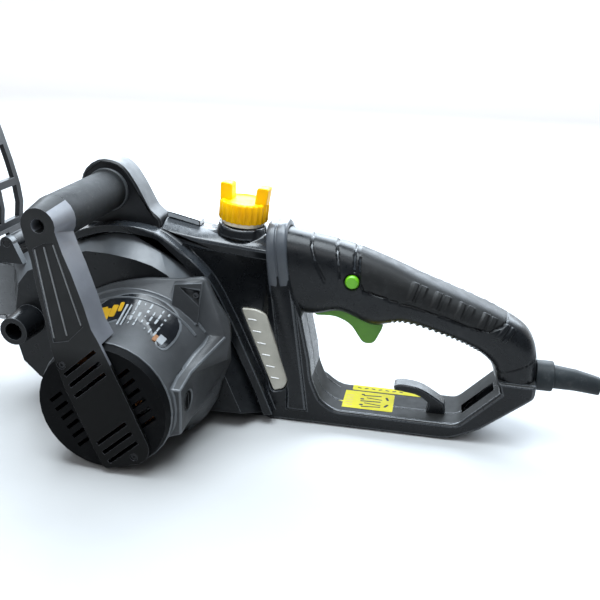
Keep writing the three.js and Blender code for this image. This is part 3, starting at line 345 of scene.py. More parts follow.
metals = {
    "steel": dict(colour=(0.50, 0.51, 0.53), roughness=0.28),
    "bar_steel": dict(colour=(0.36, 0.365, 0.375), roughness=0.3, along=(1, 0, 0), marks=0.12, oil=0.2,
        darker_behind=(0.15, 0.24)),
    "dark_steel": dict(colour=(0.13, 0.133, 0.14), roughness=0.36, along=(1, 0, 0), marks=0.3, oil=0.3),
    "black_steel": dict(colour=(0.035, 0.036, 0.038), roughness=0.4, along=(1, 0, 0), marks=0.2,
        oil=0.2),
    "chain_steel": dict(colour=(0.30, 0.30, 0.31), roughness=0.3, along=(1, 0, 0), marks=0.4, oil=0.5),
    "lamination": dict(colour=(0.3, 0.3, 0.31), roughness=0.4, along=(1, 0, 1), marks=0.3, oil=0.1),
}
looks = {name: plastic(name, **values) for name, values in plastics.items()}
looks.update({name: metal(name, **values) for name, values in metals.items()})
looks["copper"] = wound("copper", (0.62, 0.24, 0.08))
slot_of = {part["node"]: part["material_slot"] for part in frame["record"]["subparts"]}
for name in nodes:
    nodes[name].data.materials.clear()
    nodes[name].data.materials.append(looks[slot_of[name]])


# ---------------------------------------------------------------- mesh tools
def new_object(name, mesh, *materials):
    for material in materials:
        mesh.materials.append(looks[material])
    made = bpy.data.objects.new(name, mesh)
    bpy.context.scene.collection.objects.link(made)
    return made


def mesh_of(name, corners, faces, *materials):
    """A mesh from corners in millimetres."""
    mesh = bpy.data.meshes.new(name)
    mesh.from_pydata([Vector(c) * MM for c in corners], [], faces)
    mesh.validate()
    return new_object(name, mesh, *materials)


def face_outward(piece, merge=0.0):
    """Turns every face outward, after joining corners closer than merge, in metres."""
    bm = bmesh.new()
    bm.from_mesh(piece.data)
    if merge:
        bmesh.ops.remove_doubles(bm, verts=bm.verts, dist=merge)
    bmesh.ops.recalc_face_normals(bm, faces=bm.faces)
    bm.to_mesh(piece.data)
    bm.free()


def smooth(piece, angle=35):
    piece.data.shade_smooth()
    piece.data.set_sharp_from_angle(angle=math.radians(angle))


widest_edge = 4.0


def soft_edges(piece, width, segments=2, angle=28, edge_slot=None, wide=None):
    """Rounds the edges and keeps flat faces shaded flat.

    wide, if given, is a function of an edge's middle and the usual width that gives its own width.
    """
    bevel = piece.modifiers.new("soft_edges", "BEVEL")
    bevel.width = width * MM
    bevel.segments = segments
    bevel.limit_method = "ANGLE"
    bevel.angle_limit = math.radians(angle)
    bevel.harden_normals = True
    bevel.use_clamp_overlap = wide is None
    if edge_slot is not None:
        bevel.material = edge_slot
    if wide:
        bevel.limit_method = "WEIGHT"
        bevel.width = widest_edge * MM
        bm = bmesh.new()
        bm.from_mesh(piece.data)
        weight = bm.edges.layers.float.new("bevel_weight_edge")
        for edge in bm.edges:
            if len(edge.link_faces) != 2 or edge.calc_face_angle() < math.radians(angle):
                continue
            middle = (edge.verts[0].co + edge.verts[1].co) / 2 / MM
            edge[weight] = wide(middle, width) / widest_edge
        bm.to_mesh(piece.data)
        bm.free()
    piece.data.shade_smooth()


def fixed_mesh(piece):
    """The piece's mesh with its modifiers applied."""
    bpy.context.view_layer.update()
    seen = piece.evaluated_get(bpy.context.evaluated_depsgraph_get())
    mesh = bpy.data.meshes.new_from_object(seen)
    piece.modifiers.clear()
    piece.data = mesh


def carve(piece, *tools):
    """Cuts each tool out of the piece, then removes the tool."""
    for tool in tools:
        made = piece.modifiers.new("carve", "BOOLEAN")
        made.operation = "DIFFERENCE"
        made.solver = "EXACT"
        made.object = tool
        fixed_mesh(piece)
        bpy.data.objects.remove(tool)


def extruded(name, shape, y0, y1, *materials):
    """A shape drawn in (X, Z), from y0 to y1, all in millimetres."""
    count = len(shape)
    corners = [(x, y0, z) for x, z in shape] + [(x, y1, z) for x, z in shape]
    faces = [list(range(count)), list(range(2 * count - 1, count - 1, -1))]
    faces += [[k, k + count, (k + 1) % count + count, (k + 1) % count] for k in range(count)]
    made = mesh_of(name, corners, faces, *materials)
    face_outward(made)
    return made


def round_bar(name, start, end, radius, end_radius=None, sides=24, *materials):
    """A round bar between two points in millimetres."""
    start, end = Vector(start), Vector(end)
    axis = (end - start).normalized()
    side = axis.orthogonal().normalized()
    other = axis.cross(side)
    end_radius = radius if end_radius is None else end_radius
    corners = []
    for centre, r in ((start, radius), (end, end_radius)):
        for k in range(sides):
            a = 2 * math.pi * k / sides
            corners.append(centre + side * (r * math.cos(a)) + other * (r * math.sin(a)))
    faces = [[k, (k + 1) % sides, (k + 1) % sides + sides, k + sides] for k in range(sides)]
    faces += [list(range(sides - 1, -1, -1)), list(range(sides, 2 * sides))]
    return mesh_of(name, corners, faces, *materials)


def lathe(name, centre, axis, profile, sides, *materials):
    """A profile of (radius, distance along the axis), turned round an axis, in millimetres."""
    axis = Vector(axis).normalized()
    side = axis.orthogonal().normalized()
    other = axis.cross(side)
    centre = Vector(centre)
    corners = []
    for k in range(sides):
        a = 2 * math.pi * k / sides
        outward = side * math.cos(a) + other * math.sin(a)
        corners += [centre + outward * r + axis * d for r, d in profile]
    count = len(profile)
    faces = []
    for k in range(sides):
        here, there = k * count, ((k + 1) % sides) * count
        for i in range(count - 1):
            faces.append([here + i, there + i, there + i + 1, here + i + 1])
    made = mesh_of(name, corners, faces, *materials)
    face_outward(made, 1e-6)
    smooth(made, 38)
    return made


def skin_of(node, material, width, edge=None, angle=28, tools=(), segments=2, wide=None):
    """A CAD node with its edges rounded, and with fine detail cut into it."""
    bm = bmesh.new()
    bm.from_mesh(nodes[node].data)
    bmesh.ops.remove_doubles(bm, verts=bm.verts, dist=4e-6)
    mesh = bpy.data.meshes.new(node + "_skin")
    bm.to_mesh(mesh)
    bm.free()
    mesh.materials.clear()
    if "custom_normal" in mesh.attributes:
        mesh.attributes.remove(mesh.attributes["custom_normal"])
    piece = new_object(node + "_skin", mesh, material, edge or material)
    if tools:
        carve(piece, *tools)
    bm = bmesh.new()
    bm.from_mesh(piece.data)
    bmesh.ops.remove_doubles(bm, verts=bm.verts, dist=1e-5)
    bmesh.ops.dissolve_limit(
        bm, angle_limit=math.radians(1.0), verts=bm.verts[:], edges=bm.edges[:]
    )
    bm.to_mesh(piece.data)
    bm.free()
    soft_edges(piece, width, segments, angle, 1, wide)
    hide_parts(node)
    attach(piece, nodes[node]["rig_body"])
    return piece


def on(body, slot_name, *pieces):
    """Puts added pieces on a body; slot_name, the material slot that they stand for, is not used."""
    for piece in pieces:
        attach(piece, body)


# ---------------------------------------------------------------- rear handle
grip_sections = np.array([
    # top x, top z, underside x, underside z, half width
    [-106, 168, -112, 97, 22],
    [-135, 163, -138, 97, 20.5],
    [-165, 157, -160, 101, 20],
    [-195, 147, -186, 92, 20],
    [-225, 135, -211, 97, 20],
    [-255, 124, -243, 90, 20],
    [-285, 112, -268, 81, 20],
    [-308, 99, -283, 70, 19.5],
    [-318, 80, -288, 58, 19],
    [-320, 50, -291, 50, 19],
], float)
grip_squareness = 0.78
grip_lift = 0.55
cover_proud = 0.35
cover_gap = 1.1
arc_depth = 1.2
rear_seam_depth = 0.5
pad_height, first_pad, pad_pitch, pad_offset = 1.15, 3.95, 0.62, 0.115
rib_height, ribs_per_section = 0.8, 6.5
stations = 330
around = 208


def along_sections(s):
    """A smooth curve through the sections, at s sections from the first."""
    last = len(grip_sections) - 1
    i = np.clip(np.floor(s).astype(int), 0, last - 1)
    t = (s - i)[:, None]
    p0, p1 = grip_sections[np.maximum(i - 1, 0)], grip_sections[i]
    p2, p3 = grip_sections[i + 1], grip_sections[np.minimum(i + 2, last)]
    return 0.5 * (
        2 * p1 + (p2 - p0) * t + (2 * p0 - 5 * p1 + 4 * p2 - p3) * t**2
        + (3 * p1 - p0 - 3 * p2 + p3) * t**3
    )


def near_line(x, z, line):
    """Distance of points from a line of corners, in the (X, Z) plane."""
    best = np.full(x.shape, 1e9)
    for (ax, az), (bx, bz) in zip(line, line[1:]):
        dx, dz = bx - ax, bz - az
        t = np.clip(((x - ax) * dx + (z - az) * dz) / (dx * dx + dz * dz), 0, 1)
        best = np.minimum(best, np.hypot(x - ax - t * dx, z - az - t * dz))
    return best


def step(edge0, edge1, value):
    """Rises smoothly from 0 to 1 between two values."""
    t = np.clip((value - edge0) / (edge1 - edge0), 0, 1)
    return t * t * (3 - 2 * t)


cover_seam = [(-174, 150), (-175, 133), (-178, 126), (-208, 118), (-240, 110.6), (-263, 103.4),
              (-279, 101), (-290, 106), (-301, 117)]
front_arcs = [
    [(-134, 172), (-135, 157), (-139, 146), (-147, 131)],
    [(-153, 167), (-157, 148), (-159, 134)],
    [(-169, 163), (-170.5, 141)],
]
rear_seam = [(-330, 80), (-314, 76), (-300, 69), (-286, 63)]


def build_grip():
    s = np.linspace(0.12, 9, stations)
    rows = along_sections(s)
    top, low, half = rows[:, 0:2], rows[:, 2:4], rows[:, 4]
    middle = (top + low) / 2
    reach = (top - low) / 2
    length = np.linalg.norm(reach, axis=1)
    upward = reach / length[:, None]
    angle = np.linspace(0, 2 * math.pi, around, endpoint=False)
    sine, cosine = np.sin(angle), np.cos(angle)
    square_sine = np.sign(sine) * np.abs(sine) ** grip_squareness
    square_cosine = np.sign(cosine) * np.abs(cosine) ** grip_squareness
    x = middle[:, None, 0] + upward[:, None, 0] * length[:, None] * square_sine
    z = middle[:, None, 1] + upward[:, None, 1] * length[:, None] * square_sine
    y = half[:, None] * square_cosine
    lift = np.full(x.shape, grip_lift)
    grid_s = np.repeat(s[:, None], around, 1)
    grid_a = np.repeat(np.degrees(angle)[None, :], stations, 0)
    # the soft cover stands a little proud, with a fine gap round it
    seam = near_line(x, z, cover_seam)
    covered = inside_cover(x, z)
    lift += np.where(covered, cover_proud * step(0.3, 1.3, seam), 0)
    lift -= cover_gap * (1 - step(0.35, 1.15, seam)) * (z > 96)
    for arc in front_arcs:
        lift -= arc_depth * (1 - step(0.4, 1.3, near_line(x, z, arc))) * (z > 120)
    lift -= rear_seam_depth * (1 - step(0.2, 0.8, near_line(x, z, rear_seam)))
    # five pairs of pads on each shoulder of the cover
    fold = np.where(grid_a > 180, -1.0, np.where(grid_a > 90, 180 - grid_a, grid_a))
    bars = np.zeros(x.shape)
    for group in range(5):
        for side in (-pad_offset, pad_offset):
            centre = first_pad + group * pad_pitch + side
            across = np.abs(grid_s - centre)
            pad = 1 - step(0.06, 0.085, across)
            pad = pad * step(5, 8, fold) * (1 - step(50, 54, fold))
            bars = np.maximum(bars, pad)
    lift += pad_height * bars
    # finger ribs under the cover
    under = step(222, 236, grid_a) * (1 - step(304, 318, grid_a))
    zone = step(3.5, 3.7, grid_s) * (1 - step(6.1, 6.3, grid_s))
    lift += rib_height * under * zone * np.sin(grid_s * 2 * math.pi * ribs_per_section)
    out_y = square_cosine / half[:, None]
    out_up = square_sine / length[:, None]
    size = np.hypot(out_y, out_up)
    out_y, out_up = out_y / size, out_up / size
    x = x + lift * out_up * upward[:, None, 0]
    z = z + lift * out_up * upward[:, None, 1]
    y = y + lift * out_y
    corners = np.stack([x, y, z], axis=2).reshape(-1, 3)
    faces = []
    for i in range(stations - 1):
        for k in range(around):
            a, b = i * around + k, i * around + (k + 1) % around
            faces.append((a, b, b + around, a + around))
    faces.append(tuple(range(around - 1, -1, -1)))
    faces.append(tuple((stations - 1) * around + k for k in range(around)))
    grip = mesh_of("rear_grip", corners.tolist(), faces, "body_plastic", "grip_rubber")
    face_outward(grip)
    slot_hole = extruded(
        "tool", [(-201, 80), (-134, 80), (-134, 125), (-201, 125)], -8, 8
    )
    button_hole = round_bar("tool", (-169, -9, 132), (-169, 30, 132), 7.2, None, 32)
    gland_hole = round_bar("tool", (-300, 0, 58.5), (-330, 0, 58.5), 8.3, None, 28)
    carve(grip, slot_hole, button_hole, gland_hole)
    for face in grip.data.polygons:
        centre = face.center / MM
        rubber = inside_cover(np.array([centre.x]), np.array([centre.z]))[0]
        face.material_index = int(rubber)
    smooth(grip, 40)
    return grip


def inside_cover(x, z):
    """Above the cover's seam, between its front edge and its rear edge."""
    xs = np.array([p[0] for p in cover_seam[2:]])[::-1]
    zs = np.array([p[1] for p in cover_seam[2:]])[::-1]
    above = z > np.interp(x, xs, zs)
    front = -174 - (150 - z) * 0.06
    return above & (x < front) & (x > -301)


grip = build_grip()
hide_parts("grip_cover")
on("saw", "grip_rubber", grip)


# ---------------------------------------------------------------- housing
def housing_edge(middle, width):
    """Wider rounding along the deck's sides, none round the filler neck or under the grip."""
    if middle.z > 150 and abs(middle.y) > 15 and -98 < middle.x < 0:
        return 2.2
    near_neck = math.hypot(middle.x + 74, middle.y) < 26 and middle.z > 150
    under_grip = middle.x < -97 and middle.z > 95
    return 0.0 if under_grip or near_neck else width


def paint_top_highlight(piece, lowest, slant):
    """Paints a highlight: gives the upward faces of a skin, above a height, its second, lighter material.
    """
    for face in piece.data.polygons:
        if face.normal.z > slant and face.center.z > lowest * MM:
            face.material_index = 1


for side in ("left", "right"):
    shell = skin_of("housing_" + side, "body_plastic", 0.9, "body_painted_highlight", 26, (), 3, housing_edge)
    # painted highlight: the shell's rounded edges and its upward faces above 132 mm take the lighter body
    # copy
    paint_top_highlight(shell, 132, 0.3)
    # the upward faces inside the handle's loop are duller than the deck
    shell.data.materials.append(looks["loop_plastic"])
    for face in shell.data.polygons:
        if face.normal.z > 0.25 and face.center.z < 0.06 and face.center.x < -0.135:
            face.material_index = 2


def build_collar():
    """The smooth ring where the handle meets the body: two bands with a groove between, in a lighter bluish
    grey that is a painted highlight.
    """
    (ax, az), (bx, bz) = (-98, 170.5), (-105, 100)
    (cx, cz), (dx, dz) = (-112.5, 172.5), (-121, 100)
    profile = [(-0.05, -4), (-0.04, -0.2), (0.0, 0.5), (0.05, 0.9), (0.38, 1.0), (0.43, 0.75), (0.46, 0.05),
               (0.52, 0.0), (0.55, 0.7), (0.6, 0.95), (0.92, 0.9), (1.02, 0.6), (1.07, -0.2), (1.08, -4)]
    sides = 128
    corners = []
    for t, lift in profile:
        top = np.array([ax + (cx - ax) * t, az + (cz - az) * t])
        low = np.array([bx + (dx - bx) * t, bz + (dz - bz) * t])
        middle, reach = (top + low) / 2, (top - low) / 2
        length = np.linalg.norm(reach)
        for k in range(sides):
            a = 2 * math.pi * k / sides
            up_part = math.copysign(abs(math.sin(a)) ** grip_squareness, math.sin(a))
            side_part = math.copysign(abs(math.cos(a)) ** grip_squareness, math.cos(a))
            x, z = middle + reach / length * (length + lift) * up_part
            corners.append((x, (23.5 + lift) * side_part, z))
    faces = [(i * sides + k, i * sides + (k + 1) % sides, (i + 1) * sides + (k + 1) % sides,
              (i + 1) * sides + k) for i in range(len(profile) - 1) for k in range(sides)]
    ring = mesh_of("handle_collar", corners, faces, "collar_painted_highlight")
    face_outward(ring)
    smooth(ring, 50)
    on("saw", "body_plastic", ring)


build_collar()
# painted highlight: the gear case's rounded edges and upward faces take a lighter copy
paint_top_highlight(skin_of("gear_case", "case_plastic", 0.8, "case_painted_highlight"), 100, 0.25)
# painted reflection: the deck insert's pale bluish grey; its rounded edges are glossy black
skin_of("deck_insert", "deck_gloss", 0.8, "gloss_black")

# ---------------------------------------------------------------- motor
ear_hole = [(-38.5, 129), (-55, 127.5), (-53.5, 114.5)]


def casing_edge(middle, width):
    """Wider rounding along the brush box, none on the flange."""
    if middle.x < -48 and middle.y > 53 and middle.z < 100:
        return 1.5
    return 0.0 if middle.y < 56 else width


# painted highlight: the casing's rounded edges take a lighter copy of its plastic
skin_of("motor_casing", "motor_plastic", 0.6, "motor_edge",
        tools=[extruded("tool", ear_hole, 51, 58)], wide=casing_edge)
motor_z = 54
casing_y = [44.3, 52, 60, 72, 86, 98, 118]
casing_r = [69, 69, 66, 60, 54.5, 52.5, 52.5]


def on_casing(angle, y, lift):
    """A point on the motor casing: the angle runs from straight up towards the rear, in degrees."""
    r = float(np.interp(y, casing_y, casing_r)) + lift
    a = math.radians(angle)
    return (-r * math.sin(a), y, motor_z + r * math.cos(a))


def casing_patch(name, outline_points, lift, material, rings=7):
    """A thin plate lying on the casing, inside an outline of (angle, y) points."""
    count = len(outline_points)
    centre = np.mean(outline_points, axis=0)
    corners = []
    for ring in range(rings):
        share = 1 - ring / rings
        for a, y in outline_points:
            corners.append(on_casing(centre[0] + (a - centre[0]) * share,
                                     centre[1] + (y - centre[1]) * share, lift))
    corners.append(on_casing(*centre, lift))
    corners += [on_casing(a, y, -0.4) for a, y in outline_points]
    faces = []
    for ring in range(rings - 1):
        for k in range(count):
            a, b = ring * count + k, ring * count + (k + 1) % count
            faces.append((a, b, b + count, a + count))
    last, middle = (rings - 1) * count, rings * count
    faces += [(last + k, last + (k + 1) % count, middle) for k in range(count)]
    faces += [(k, (k + 1) % count, middle + 1 + (k + 1) % count, middle + 1 + k) for k in range(count)]
    plate = mesh_of(name, corners, faces, material)
    face_outward(plate)
    top_face = plate.data.polygons[rings * count - 1]
    if top_face.normal.z < 0:
        plate.data.flip_normals()
    smooth(plate, 50)
    return plate


def rounded(corners, steps=6):
    """An outline of (u, v, radius) corners with arcs for corners."""
    made = []
    count = len(corners)
    for k, (u, v, radius) in enumerate(corners):
        here = np.array([u, v], float)
        before = np.array(corners[k - 1][:2], float) - here
        after = np.array(corners[(k + 1) % count][:2], float) - here
        start = here + before / np.linalg.norm(before) * radius
        end = here + after / np.linalg.norm(after) * radius
        for t in np.linspace(0, 1, steps):
            made.append(tuple((1 - t) ** 2 * start + 2 * t * (1 - t) * here + t * t * end))
    return made


pad = rounded([(-26, 93.5, 4), (-24, 66, 12), (8, 56.5, 14), (36, 60, 12), (46, 74, 10), (44, 93.5, 5)])
frame_line = rounded([(-28, 95, 5), (-26, 65, 13), (8, 55, 15), (38, 58.5, 13), (48, 74, 11), (46, 95, 6)])
# painted highlight: the frame round the label is in the lighter copy of the motor plastic
on("saw", "motor_plastic",
   casing_patch("label_frame", frame_line, 0.35, "motor_edge"),
   casing_patch("label_pad", pad, 0.6, "gloss_black"))


def casing_bar(name, angle, y, wide, long, material, radius=0.5, lift=0.75):
    """A printed bar on the motor's label: wide in degrees, long in millimetres."""
    corners = [(angle - wide / 2, y - long / 2, radius), (angle + wide / 2, y - long / 2, radius),
               (angle + wide / 2, y + long / 2, radius), (angle - wide / 2, y + long / 2, radius)]
    plate = casing_patch(name, rounded(corners, 4), lift, material, 3)
    on("saw", "motor_plastic", plate)


for k, (angle, y, wide, long) in enumerate((
    (-19, 84, 7, 9), (-13, 80, 5, 14), (-8, 76, 4.5, 12), (-17, 74, 6, 6), (-3.5, 72, 3, 9),
)):
    casing_bar(f"label_amber_{k + 1}", angle, y, wide, long, "label_amber", 1.2)
for k, (angle, y, wide, long) in enumerate(((0.5, 80, 1.6, 22), (3.6, 80, 1.2, 22))):
    casing_bar(f"label_rule_{k + 1}", angle, y, wide, long, "label_silver")
for row in range(6):
    for column in range(5):
        if (row + 2 * column) % 7 == 3:
            continue
        long = (4.2, 2.2, 4.6, 1.4, 3.2, 2.6, 4.4)[(row * 3 + column * 2) % 7]
        wide = (1.7, 0.9, 1.3)[(row + column) % 3]
        casing_bar(f"label_dash_{row}_{column}", 8 + row * 4.6, 66 + column * 5.0, wide, long,
                   "label_silver", 0.25)
casing_bar("label_block", 38, 87, 6, 8, "label_silver", 0.6, 0.8)
casing_bar("label_stain", 33.5, 89, 3.6, 7, "stain_brown", 1.5, 0.85)
# painted highlight: two beads round the casing, in the lighter copy of the motor plastic
for k, (y, r) in enumerate(((53.2, 68.6), (62.5, 65.1))):
    bead = lathe(f"casing_bead_{k + 1}", (0, y, motor_z), (0, 1, 0),
                 [(r, -0.9), (r + 0.75, -0.5), (r + 1.0, 0), (r + 0.7, 0.6), (r - 0.8, 1.1)], 120,
                 "motor_edge")
    bm = bmesh.new()
    bm.from_mesh(bead.data)
    hidden = [v for v in bm.verts if v.co.z < 0.004 or v.co.x < -0.05 and v.co.z < 0.09]
    bmesh.ops.delete(bm, geom=hidden, context="VERTS")
    bm.to_mesh(bead.data)
    bm.free()
    on("saw", "motor_plastic", bead)
ear_screw = lathe("ear_screw", (-50.6, 50.6, 122), (0, 1, 0),
                  [(0, 0), (2.6, 0), (2.6, 1.6), (2.2, 2.1), (1.3, 2.1), (1.1, 1.0), (0, 1.0)], 32,
                  "dark_steel")
on("saw", "motor_plastic", ear_screw)
# painted highlight: the caps' rounded edges take a lighter copy of their black
skin_of("motor_end_cap", "cap_black", 0.5, "cap_painted_highlight")
skin_of("brush_cap_rear", "cap_black", 0.3, "cap_painted_highlight")
skin_of("brush_cap_front", "cap_black", 0.3, "cap_painted_highlight")

# ---------------------------------------------------------------- handle and guard
arm_face = 128
arm_lines = [[(37.6, 176), (30.6, 110)], [(30.4, 178.5), (20.4, 113)], [(23.4, 180.5), (8.6, 122)]]
panel = [(38.6, 176.5), (30.4, 181), (22.6, 182), (7.0, 121.5), (19.6, 109), (31.4, 106.5)]
arm_left = skin_of("handle_arm_left", "arm_left", 0.6, "arm_rear_painted_highlight",
                   tools=[extruded("tool", panel, arm_face - 0.8, arm_face + 2)])
# painted highlight: the arm's rear side faces, like its rounded edges, take a lighter copy of the arm
# plastic
for face in arm_left.data.polygons:
    if face.normal.x < -0.55 and face.center.z > 0.1:
        face.material_index = 1
# painted highlights: thin light ribs stand for the lit edges of shallow grooves along the arm
for k, ((x0, z0), (x1, z1)) in enumerate(arm_lines):
    rib = round_bar(f"arm_rib_{k + 1}", (x0, arm_face - 0.65, z0), (x1, arm_face - 0.65, z1), 0.6,
                    None, 12, "arm_line")
    soft_edges(rib, 0.3, 2, 50)
    on("saw", "arm_plastic", rib)
ear_pocket = [(-7, 165), (-6, 171.5), (1, 180), (11.5, 199), (21, 212), (37.4, 216), (51.5, 206),
              (55.4, 190), (51.5, 165)]
# painted highlight: rounded edges of the right arm, the tube's collar ring and the guard take a lighter
# copy of the arm plastic
skin_of("handle_arm_right", "arm_plastic", 1.0, "arm_edge",
        tools=[extruded("tool", ear_pocket, 17.9, 20)])
collar = lathe("tube_collar", (33, 17.4, 193), (0, 1, 0),
               [(15.9, 0), (17.2, 0), (17.5, 0.4), (17.5, 2.2), (17.1, 2.8), (16.1, 3.0)], 64, "arm_edge")
on("saw", "arm_plastic", collar)
skin_of("front_handle_tube", "tube_plastic", 0.5)
skin_of("hand_guard", "arm_plastic", 0.9, "arm_edge")
for screw in ("band_screw_upper", "band_screw_lower", "handle_screw_left"):
    skin_of(screw, "black_steel", 0.25)

# ---------------------------------------------------------------- oil system and controls
skin_of("oil_level_window", "window_cream", 0.5)
first_tick = (-87.5, 91.5)
tick_pitch = (3.9, 10.4)
for k in range(6):
    x, z = first_tick[0] - k * tick_pitch[0], first_tick[1] - k * tick_pitch[1]
    tick = round_bar(f"level_tick_{k + 1}", (x + 3.4, 20.5, z + 0.4), (x - 3.8, 20.5, z - 0.2), 0.55,
                     None, 10, "tick_white")
    soft_edges(tick, 0.2, 2, 50)
    on("saw", "window_cream", tick)


def build_cap():
    """Ribbed screw cap with two lugs, drawn upright and then leant back."""
    ribs, per_rib = 24, 10
    profile = [(11.5, 10.0), (18.6, 10.0), (19.3, 10.7), (19.3, 23.8), (18.9, 25.2), (17.6, 26.0),
               (16.4, 26.0), (15.8, 25.4), (9, 25.5), (0.0, 25.7)]
    corners, faces = [], []
    count = ribs * per_rib
    for i, (r, z) in enumerate(profile):
        for k in range(count):
            a = 2 * math.pi * k / count
            swell = 1.05 * max(0.0, math.cos(ribs * a)) ** 0.5 - 0.2 if 1 <= i <= 4 else 0
            corners.append(((r + swell) * math.cos(a), (r + swell) * math.sin(a), z))
    for i in range(len(profile) - 1):
        for k in range(count):
            a, b = i * count + k, i * count + (k + 1) % count
            faces.append((a, b, b + count, a + count))
    faces.append(tuple(range(count - 1, -1, -1)))
    cap = mesh_of("oil_cap_body", corners, faces, "cap_yellow")
    smooth(cap, 50)
    parts = [cap]
    for side in (1, -1):
        lug = [(9.4, 25), (10.2, 37), (11.2, 38.6), (18.6, 39.0), (20.0, 38.0), (19.2, 25)]
        horn = extruded("oil_cap_lug" + ("_left" if side > 0 else "_right"),
                        [(side * x, z) for x, z in lug], -6.5, 6.5, "cap_yellow")
        soft_edges(horn, 1.7, 4, 30)
        parts.append(horn)
    lean = Matrix.Translation((-0.074, 0, 0.162)) @ Matrix.Rotation(math.radians(-6), 4, "Y")
    for part in parts:
        part.data.transform(lean)
    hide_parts("oil_cap")
    on("cap", "cap_yellow", *parts)


build_cap()
label_z = 15.15
for name, corners in (
    ("loop_label_near", [(-160, -17, 2), (-208, -17, 2), (-208, 13, 2), (-160, 13, 2)]),
    ("loop_label_far", [(-170, -28, 1.5), (-243, -28, 1.5), (-243, -19, 1.5), (-170, -19, 1.5)]),
):
    shape = rounded(corners, 6)
    count = len(shape)
    plate = mesh_of(name, [(x, y, z) for z in (14.8, label_z) for x, y in shape],
                    [list(range(2 * count - 1, count - 1, -1))]
                    + [(k, (k + 1) % count, (k + 1) % count + count, k + count) for k in range(count)],
                    "label_yellow")
    face_outward(plate)
    on("saw", "body_plastic", plate)


def flat_bar(name, x, y, wide, long, turn, material):
    """A printed bar on the loop's label, with rounded ends."""
    a = math.radians(turn)
    shape = []
    for end in (-1, 1):
        for t in np.linspace(-90, 90, 7):
            b = math.radians(t + (0 if end > 0 else 180))
            u = end * (long / 2 - wide / 2) + wide / 2 * math.cos(b)
            v = wide / 2 * math.sin(b)
            shape.append((x + u * math.cos(a) - v * math.sin(a), y + u * math.sin(a) + v * math.cos(a)))
    bar = mesh_of(name, [(u, v, label_z + 0.04) for u, v in shape], [list(range(len(shape)))], material)
    if bar.data.polygons[0].normal.z < 0:
        bar.data.flip_normals()
    on("saw", "body_plastic", bar)


for k, (x, y, wide, long, turn) in enumerate((
    (-189, 8, 1.5, 17, 6), (-190, 3.5, 1.3, 15, -8), (-188, -1, 1.7, 18, 4), (-191, -6, 1.3, 14, -6),
    (-189, -11, 1.6, 16, 5), (-202, 4, 2.2, 6, 60), (-202, -8, 2.2, 6, 110), (-180.5, 6, 2.6, 3.6, 0),
    (-180.5, -4, 2.6, 3.6, 0), (-180.5, -12, 2.2, 3.2, 0),
)):
    flat_bar(f"loop_mark_{k + 1}", x, y, wide, long, turn, "label_black")
for k in range(5):
    flat_bar(f"loop_row_{k + 1}", -169.5, 8 - 4.2 * k, 0.6, 7 - k % 2, 0, "stain_brown")
for k in range(7):
    flat_bar(f"loop_tick_{k + 1}", -176 - 6.2 * k, -23.5, 1.5, 3.8, 25 if k % 2 else -20, "label_black")
skin_of("oil_cap_seal", "seal_cream", 0.4)
skin_of("oil_tank", "tank_plastic", 0.4)
skin_of("trigger", "trigger_green", 1.0)
skin_of("lock_button", "button_green", 0.8)
# painted highlight: the hook's rounded edges take the lighter body copy
skin_of("cord_hook", "body_plastic", 0.8, "body_painted_highlight")

# ---------------------------------------------------------------- cutting side
gear_distance = 36
output_x = 30
output_z = motor_z + math.sqrt(gear_distance**2 - output_x**2)
bar_y = -33.5
chain_circles = [(output_x, output_z, 17), (62, output_z + 19, 4), (220, output_z, 28),
                 (508, output_z, 22), (220, output_z, 28), (62, output_z - 19, 4)]
link_pitch = 9.3
link_line = 2.9
links_per_cutter_pair = 8
nose_link = 5
drive_half = 0.7
strap_inner, strap_outer = 0.8, 2.3
top_reach_in, top_reach_out = 1.6, 3.4
rivet_radius, rivet_half, rivet_from_middle = 1.5, 2.75, 4.6


def wrapped(circles, grow):
    """Points of a belt round the outside of circles, clockwise seen from the right."""
    points = []
    turns = []
    count = len(circles)
    for k in range(count):
        (ax, az, ar), (bx, bz, br) = circles[k], circles[(k + 1) % count]
        dx, dz = bx - ax, bz - az
        turns.append(math.atan2(dz, dx) + math.acos((ar - br) / math.hypot(dx, dz)))
    for k in range(count):
        cx, cz, r = circles[k]
        r += grow
        sweep = (turns[k - 1] - turns[k]) % (2 * math.pi)
        steps = max(2, int(sweep * r))
        for i in range(steps + 1):
            a = turns[k - 1] - sweep * i / steps
            points.append((cx + r * math.cos(a), cz + r * math.sin(a)))
    return points


def along(points, step_wanted):
    """Places evenly spaced along a closed line, one of them at its nose, with the direction at each."""
    line = np.array(points + [points[0]])
    lengths = np.linalg.norm(np.diff(line, axis=0), axis=1)
    total = lengths.sum()
    count = links_per_cutter_pair * round(total / step_wanted / links_per_cutter_pair)
    reach = np.concatenate([[0], np.cumsum(lengths)])
    nose = reach[int(np.argmax(line[:, 0]))]
    made = []
    for k in range(count):
        d = (nose + total * (k - nose_link) / count) % total
        x, z = (np.interp(d, reach, line[:, i]) for i in (0, 1))
        d2 = (d + 1.0) % total
        x2, z2 = (np.interp(d2, reach, line[:, i]) for i in (0, 1))
        made.append((x, z, math.atan2(z2 - z, x2 - x)))
    return made


def plate_mesh(bm, shape, y0, y1, place):
    """Adds one flat link to the mesh: a shape in (along, outward), in millimetres."""
    x, z, turn = place
    c, s = math.cos(turn), math.sin(turn)
    rows = []
    for y in (y0, y1):
        row = [Vector((x + u * c - v * s, y, z + u * s + v * c)) * MM for u, v in shape]
        rows.append([bm.verts.new(corner) for corner in row])
    bm.faces.new(rows[0])
    bm.faces.new(rows[1][::-1])
    for k in range(len(shape)):
        n = (k + 1) % len(shape)
        bm.faces.new((rows[0][n], rows[0][k], rows[1][k], rows[1][n]))


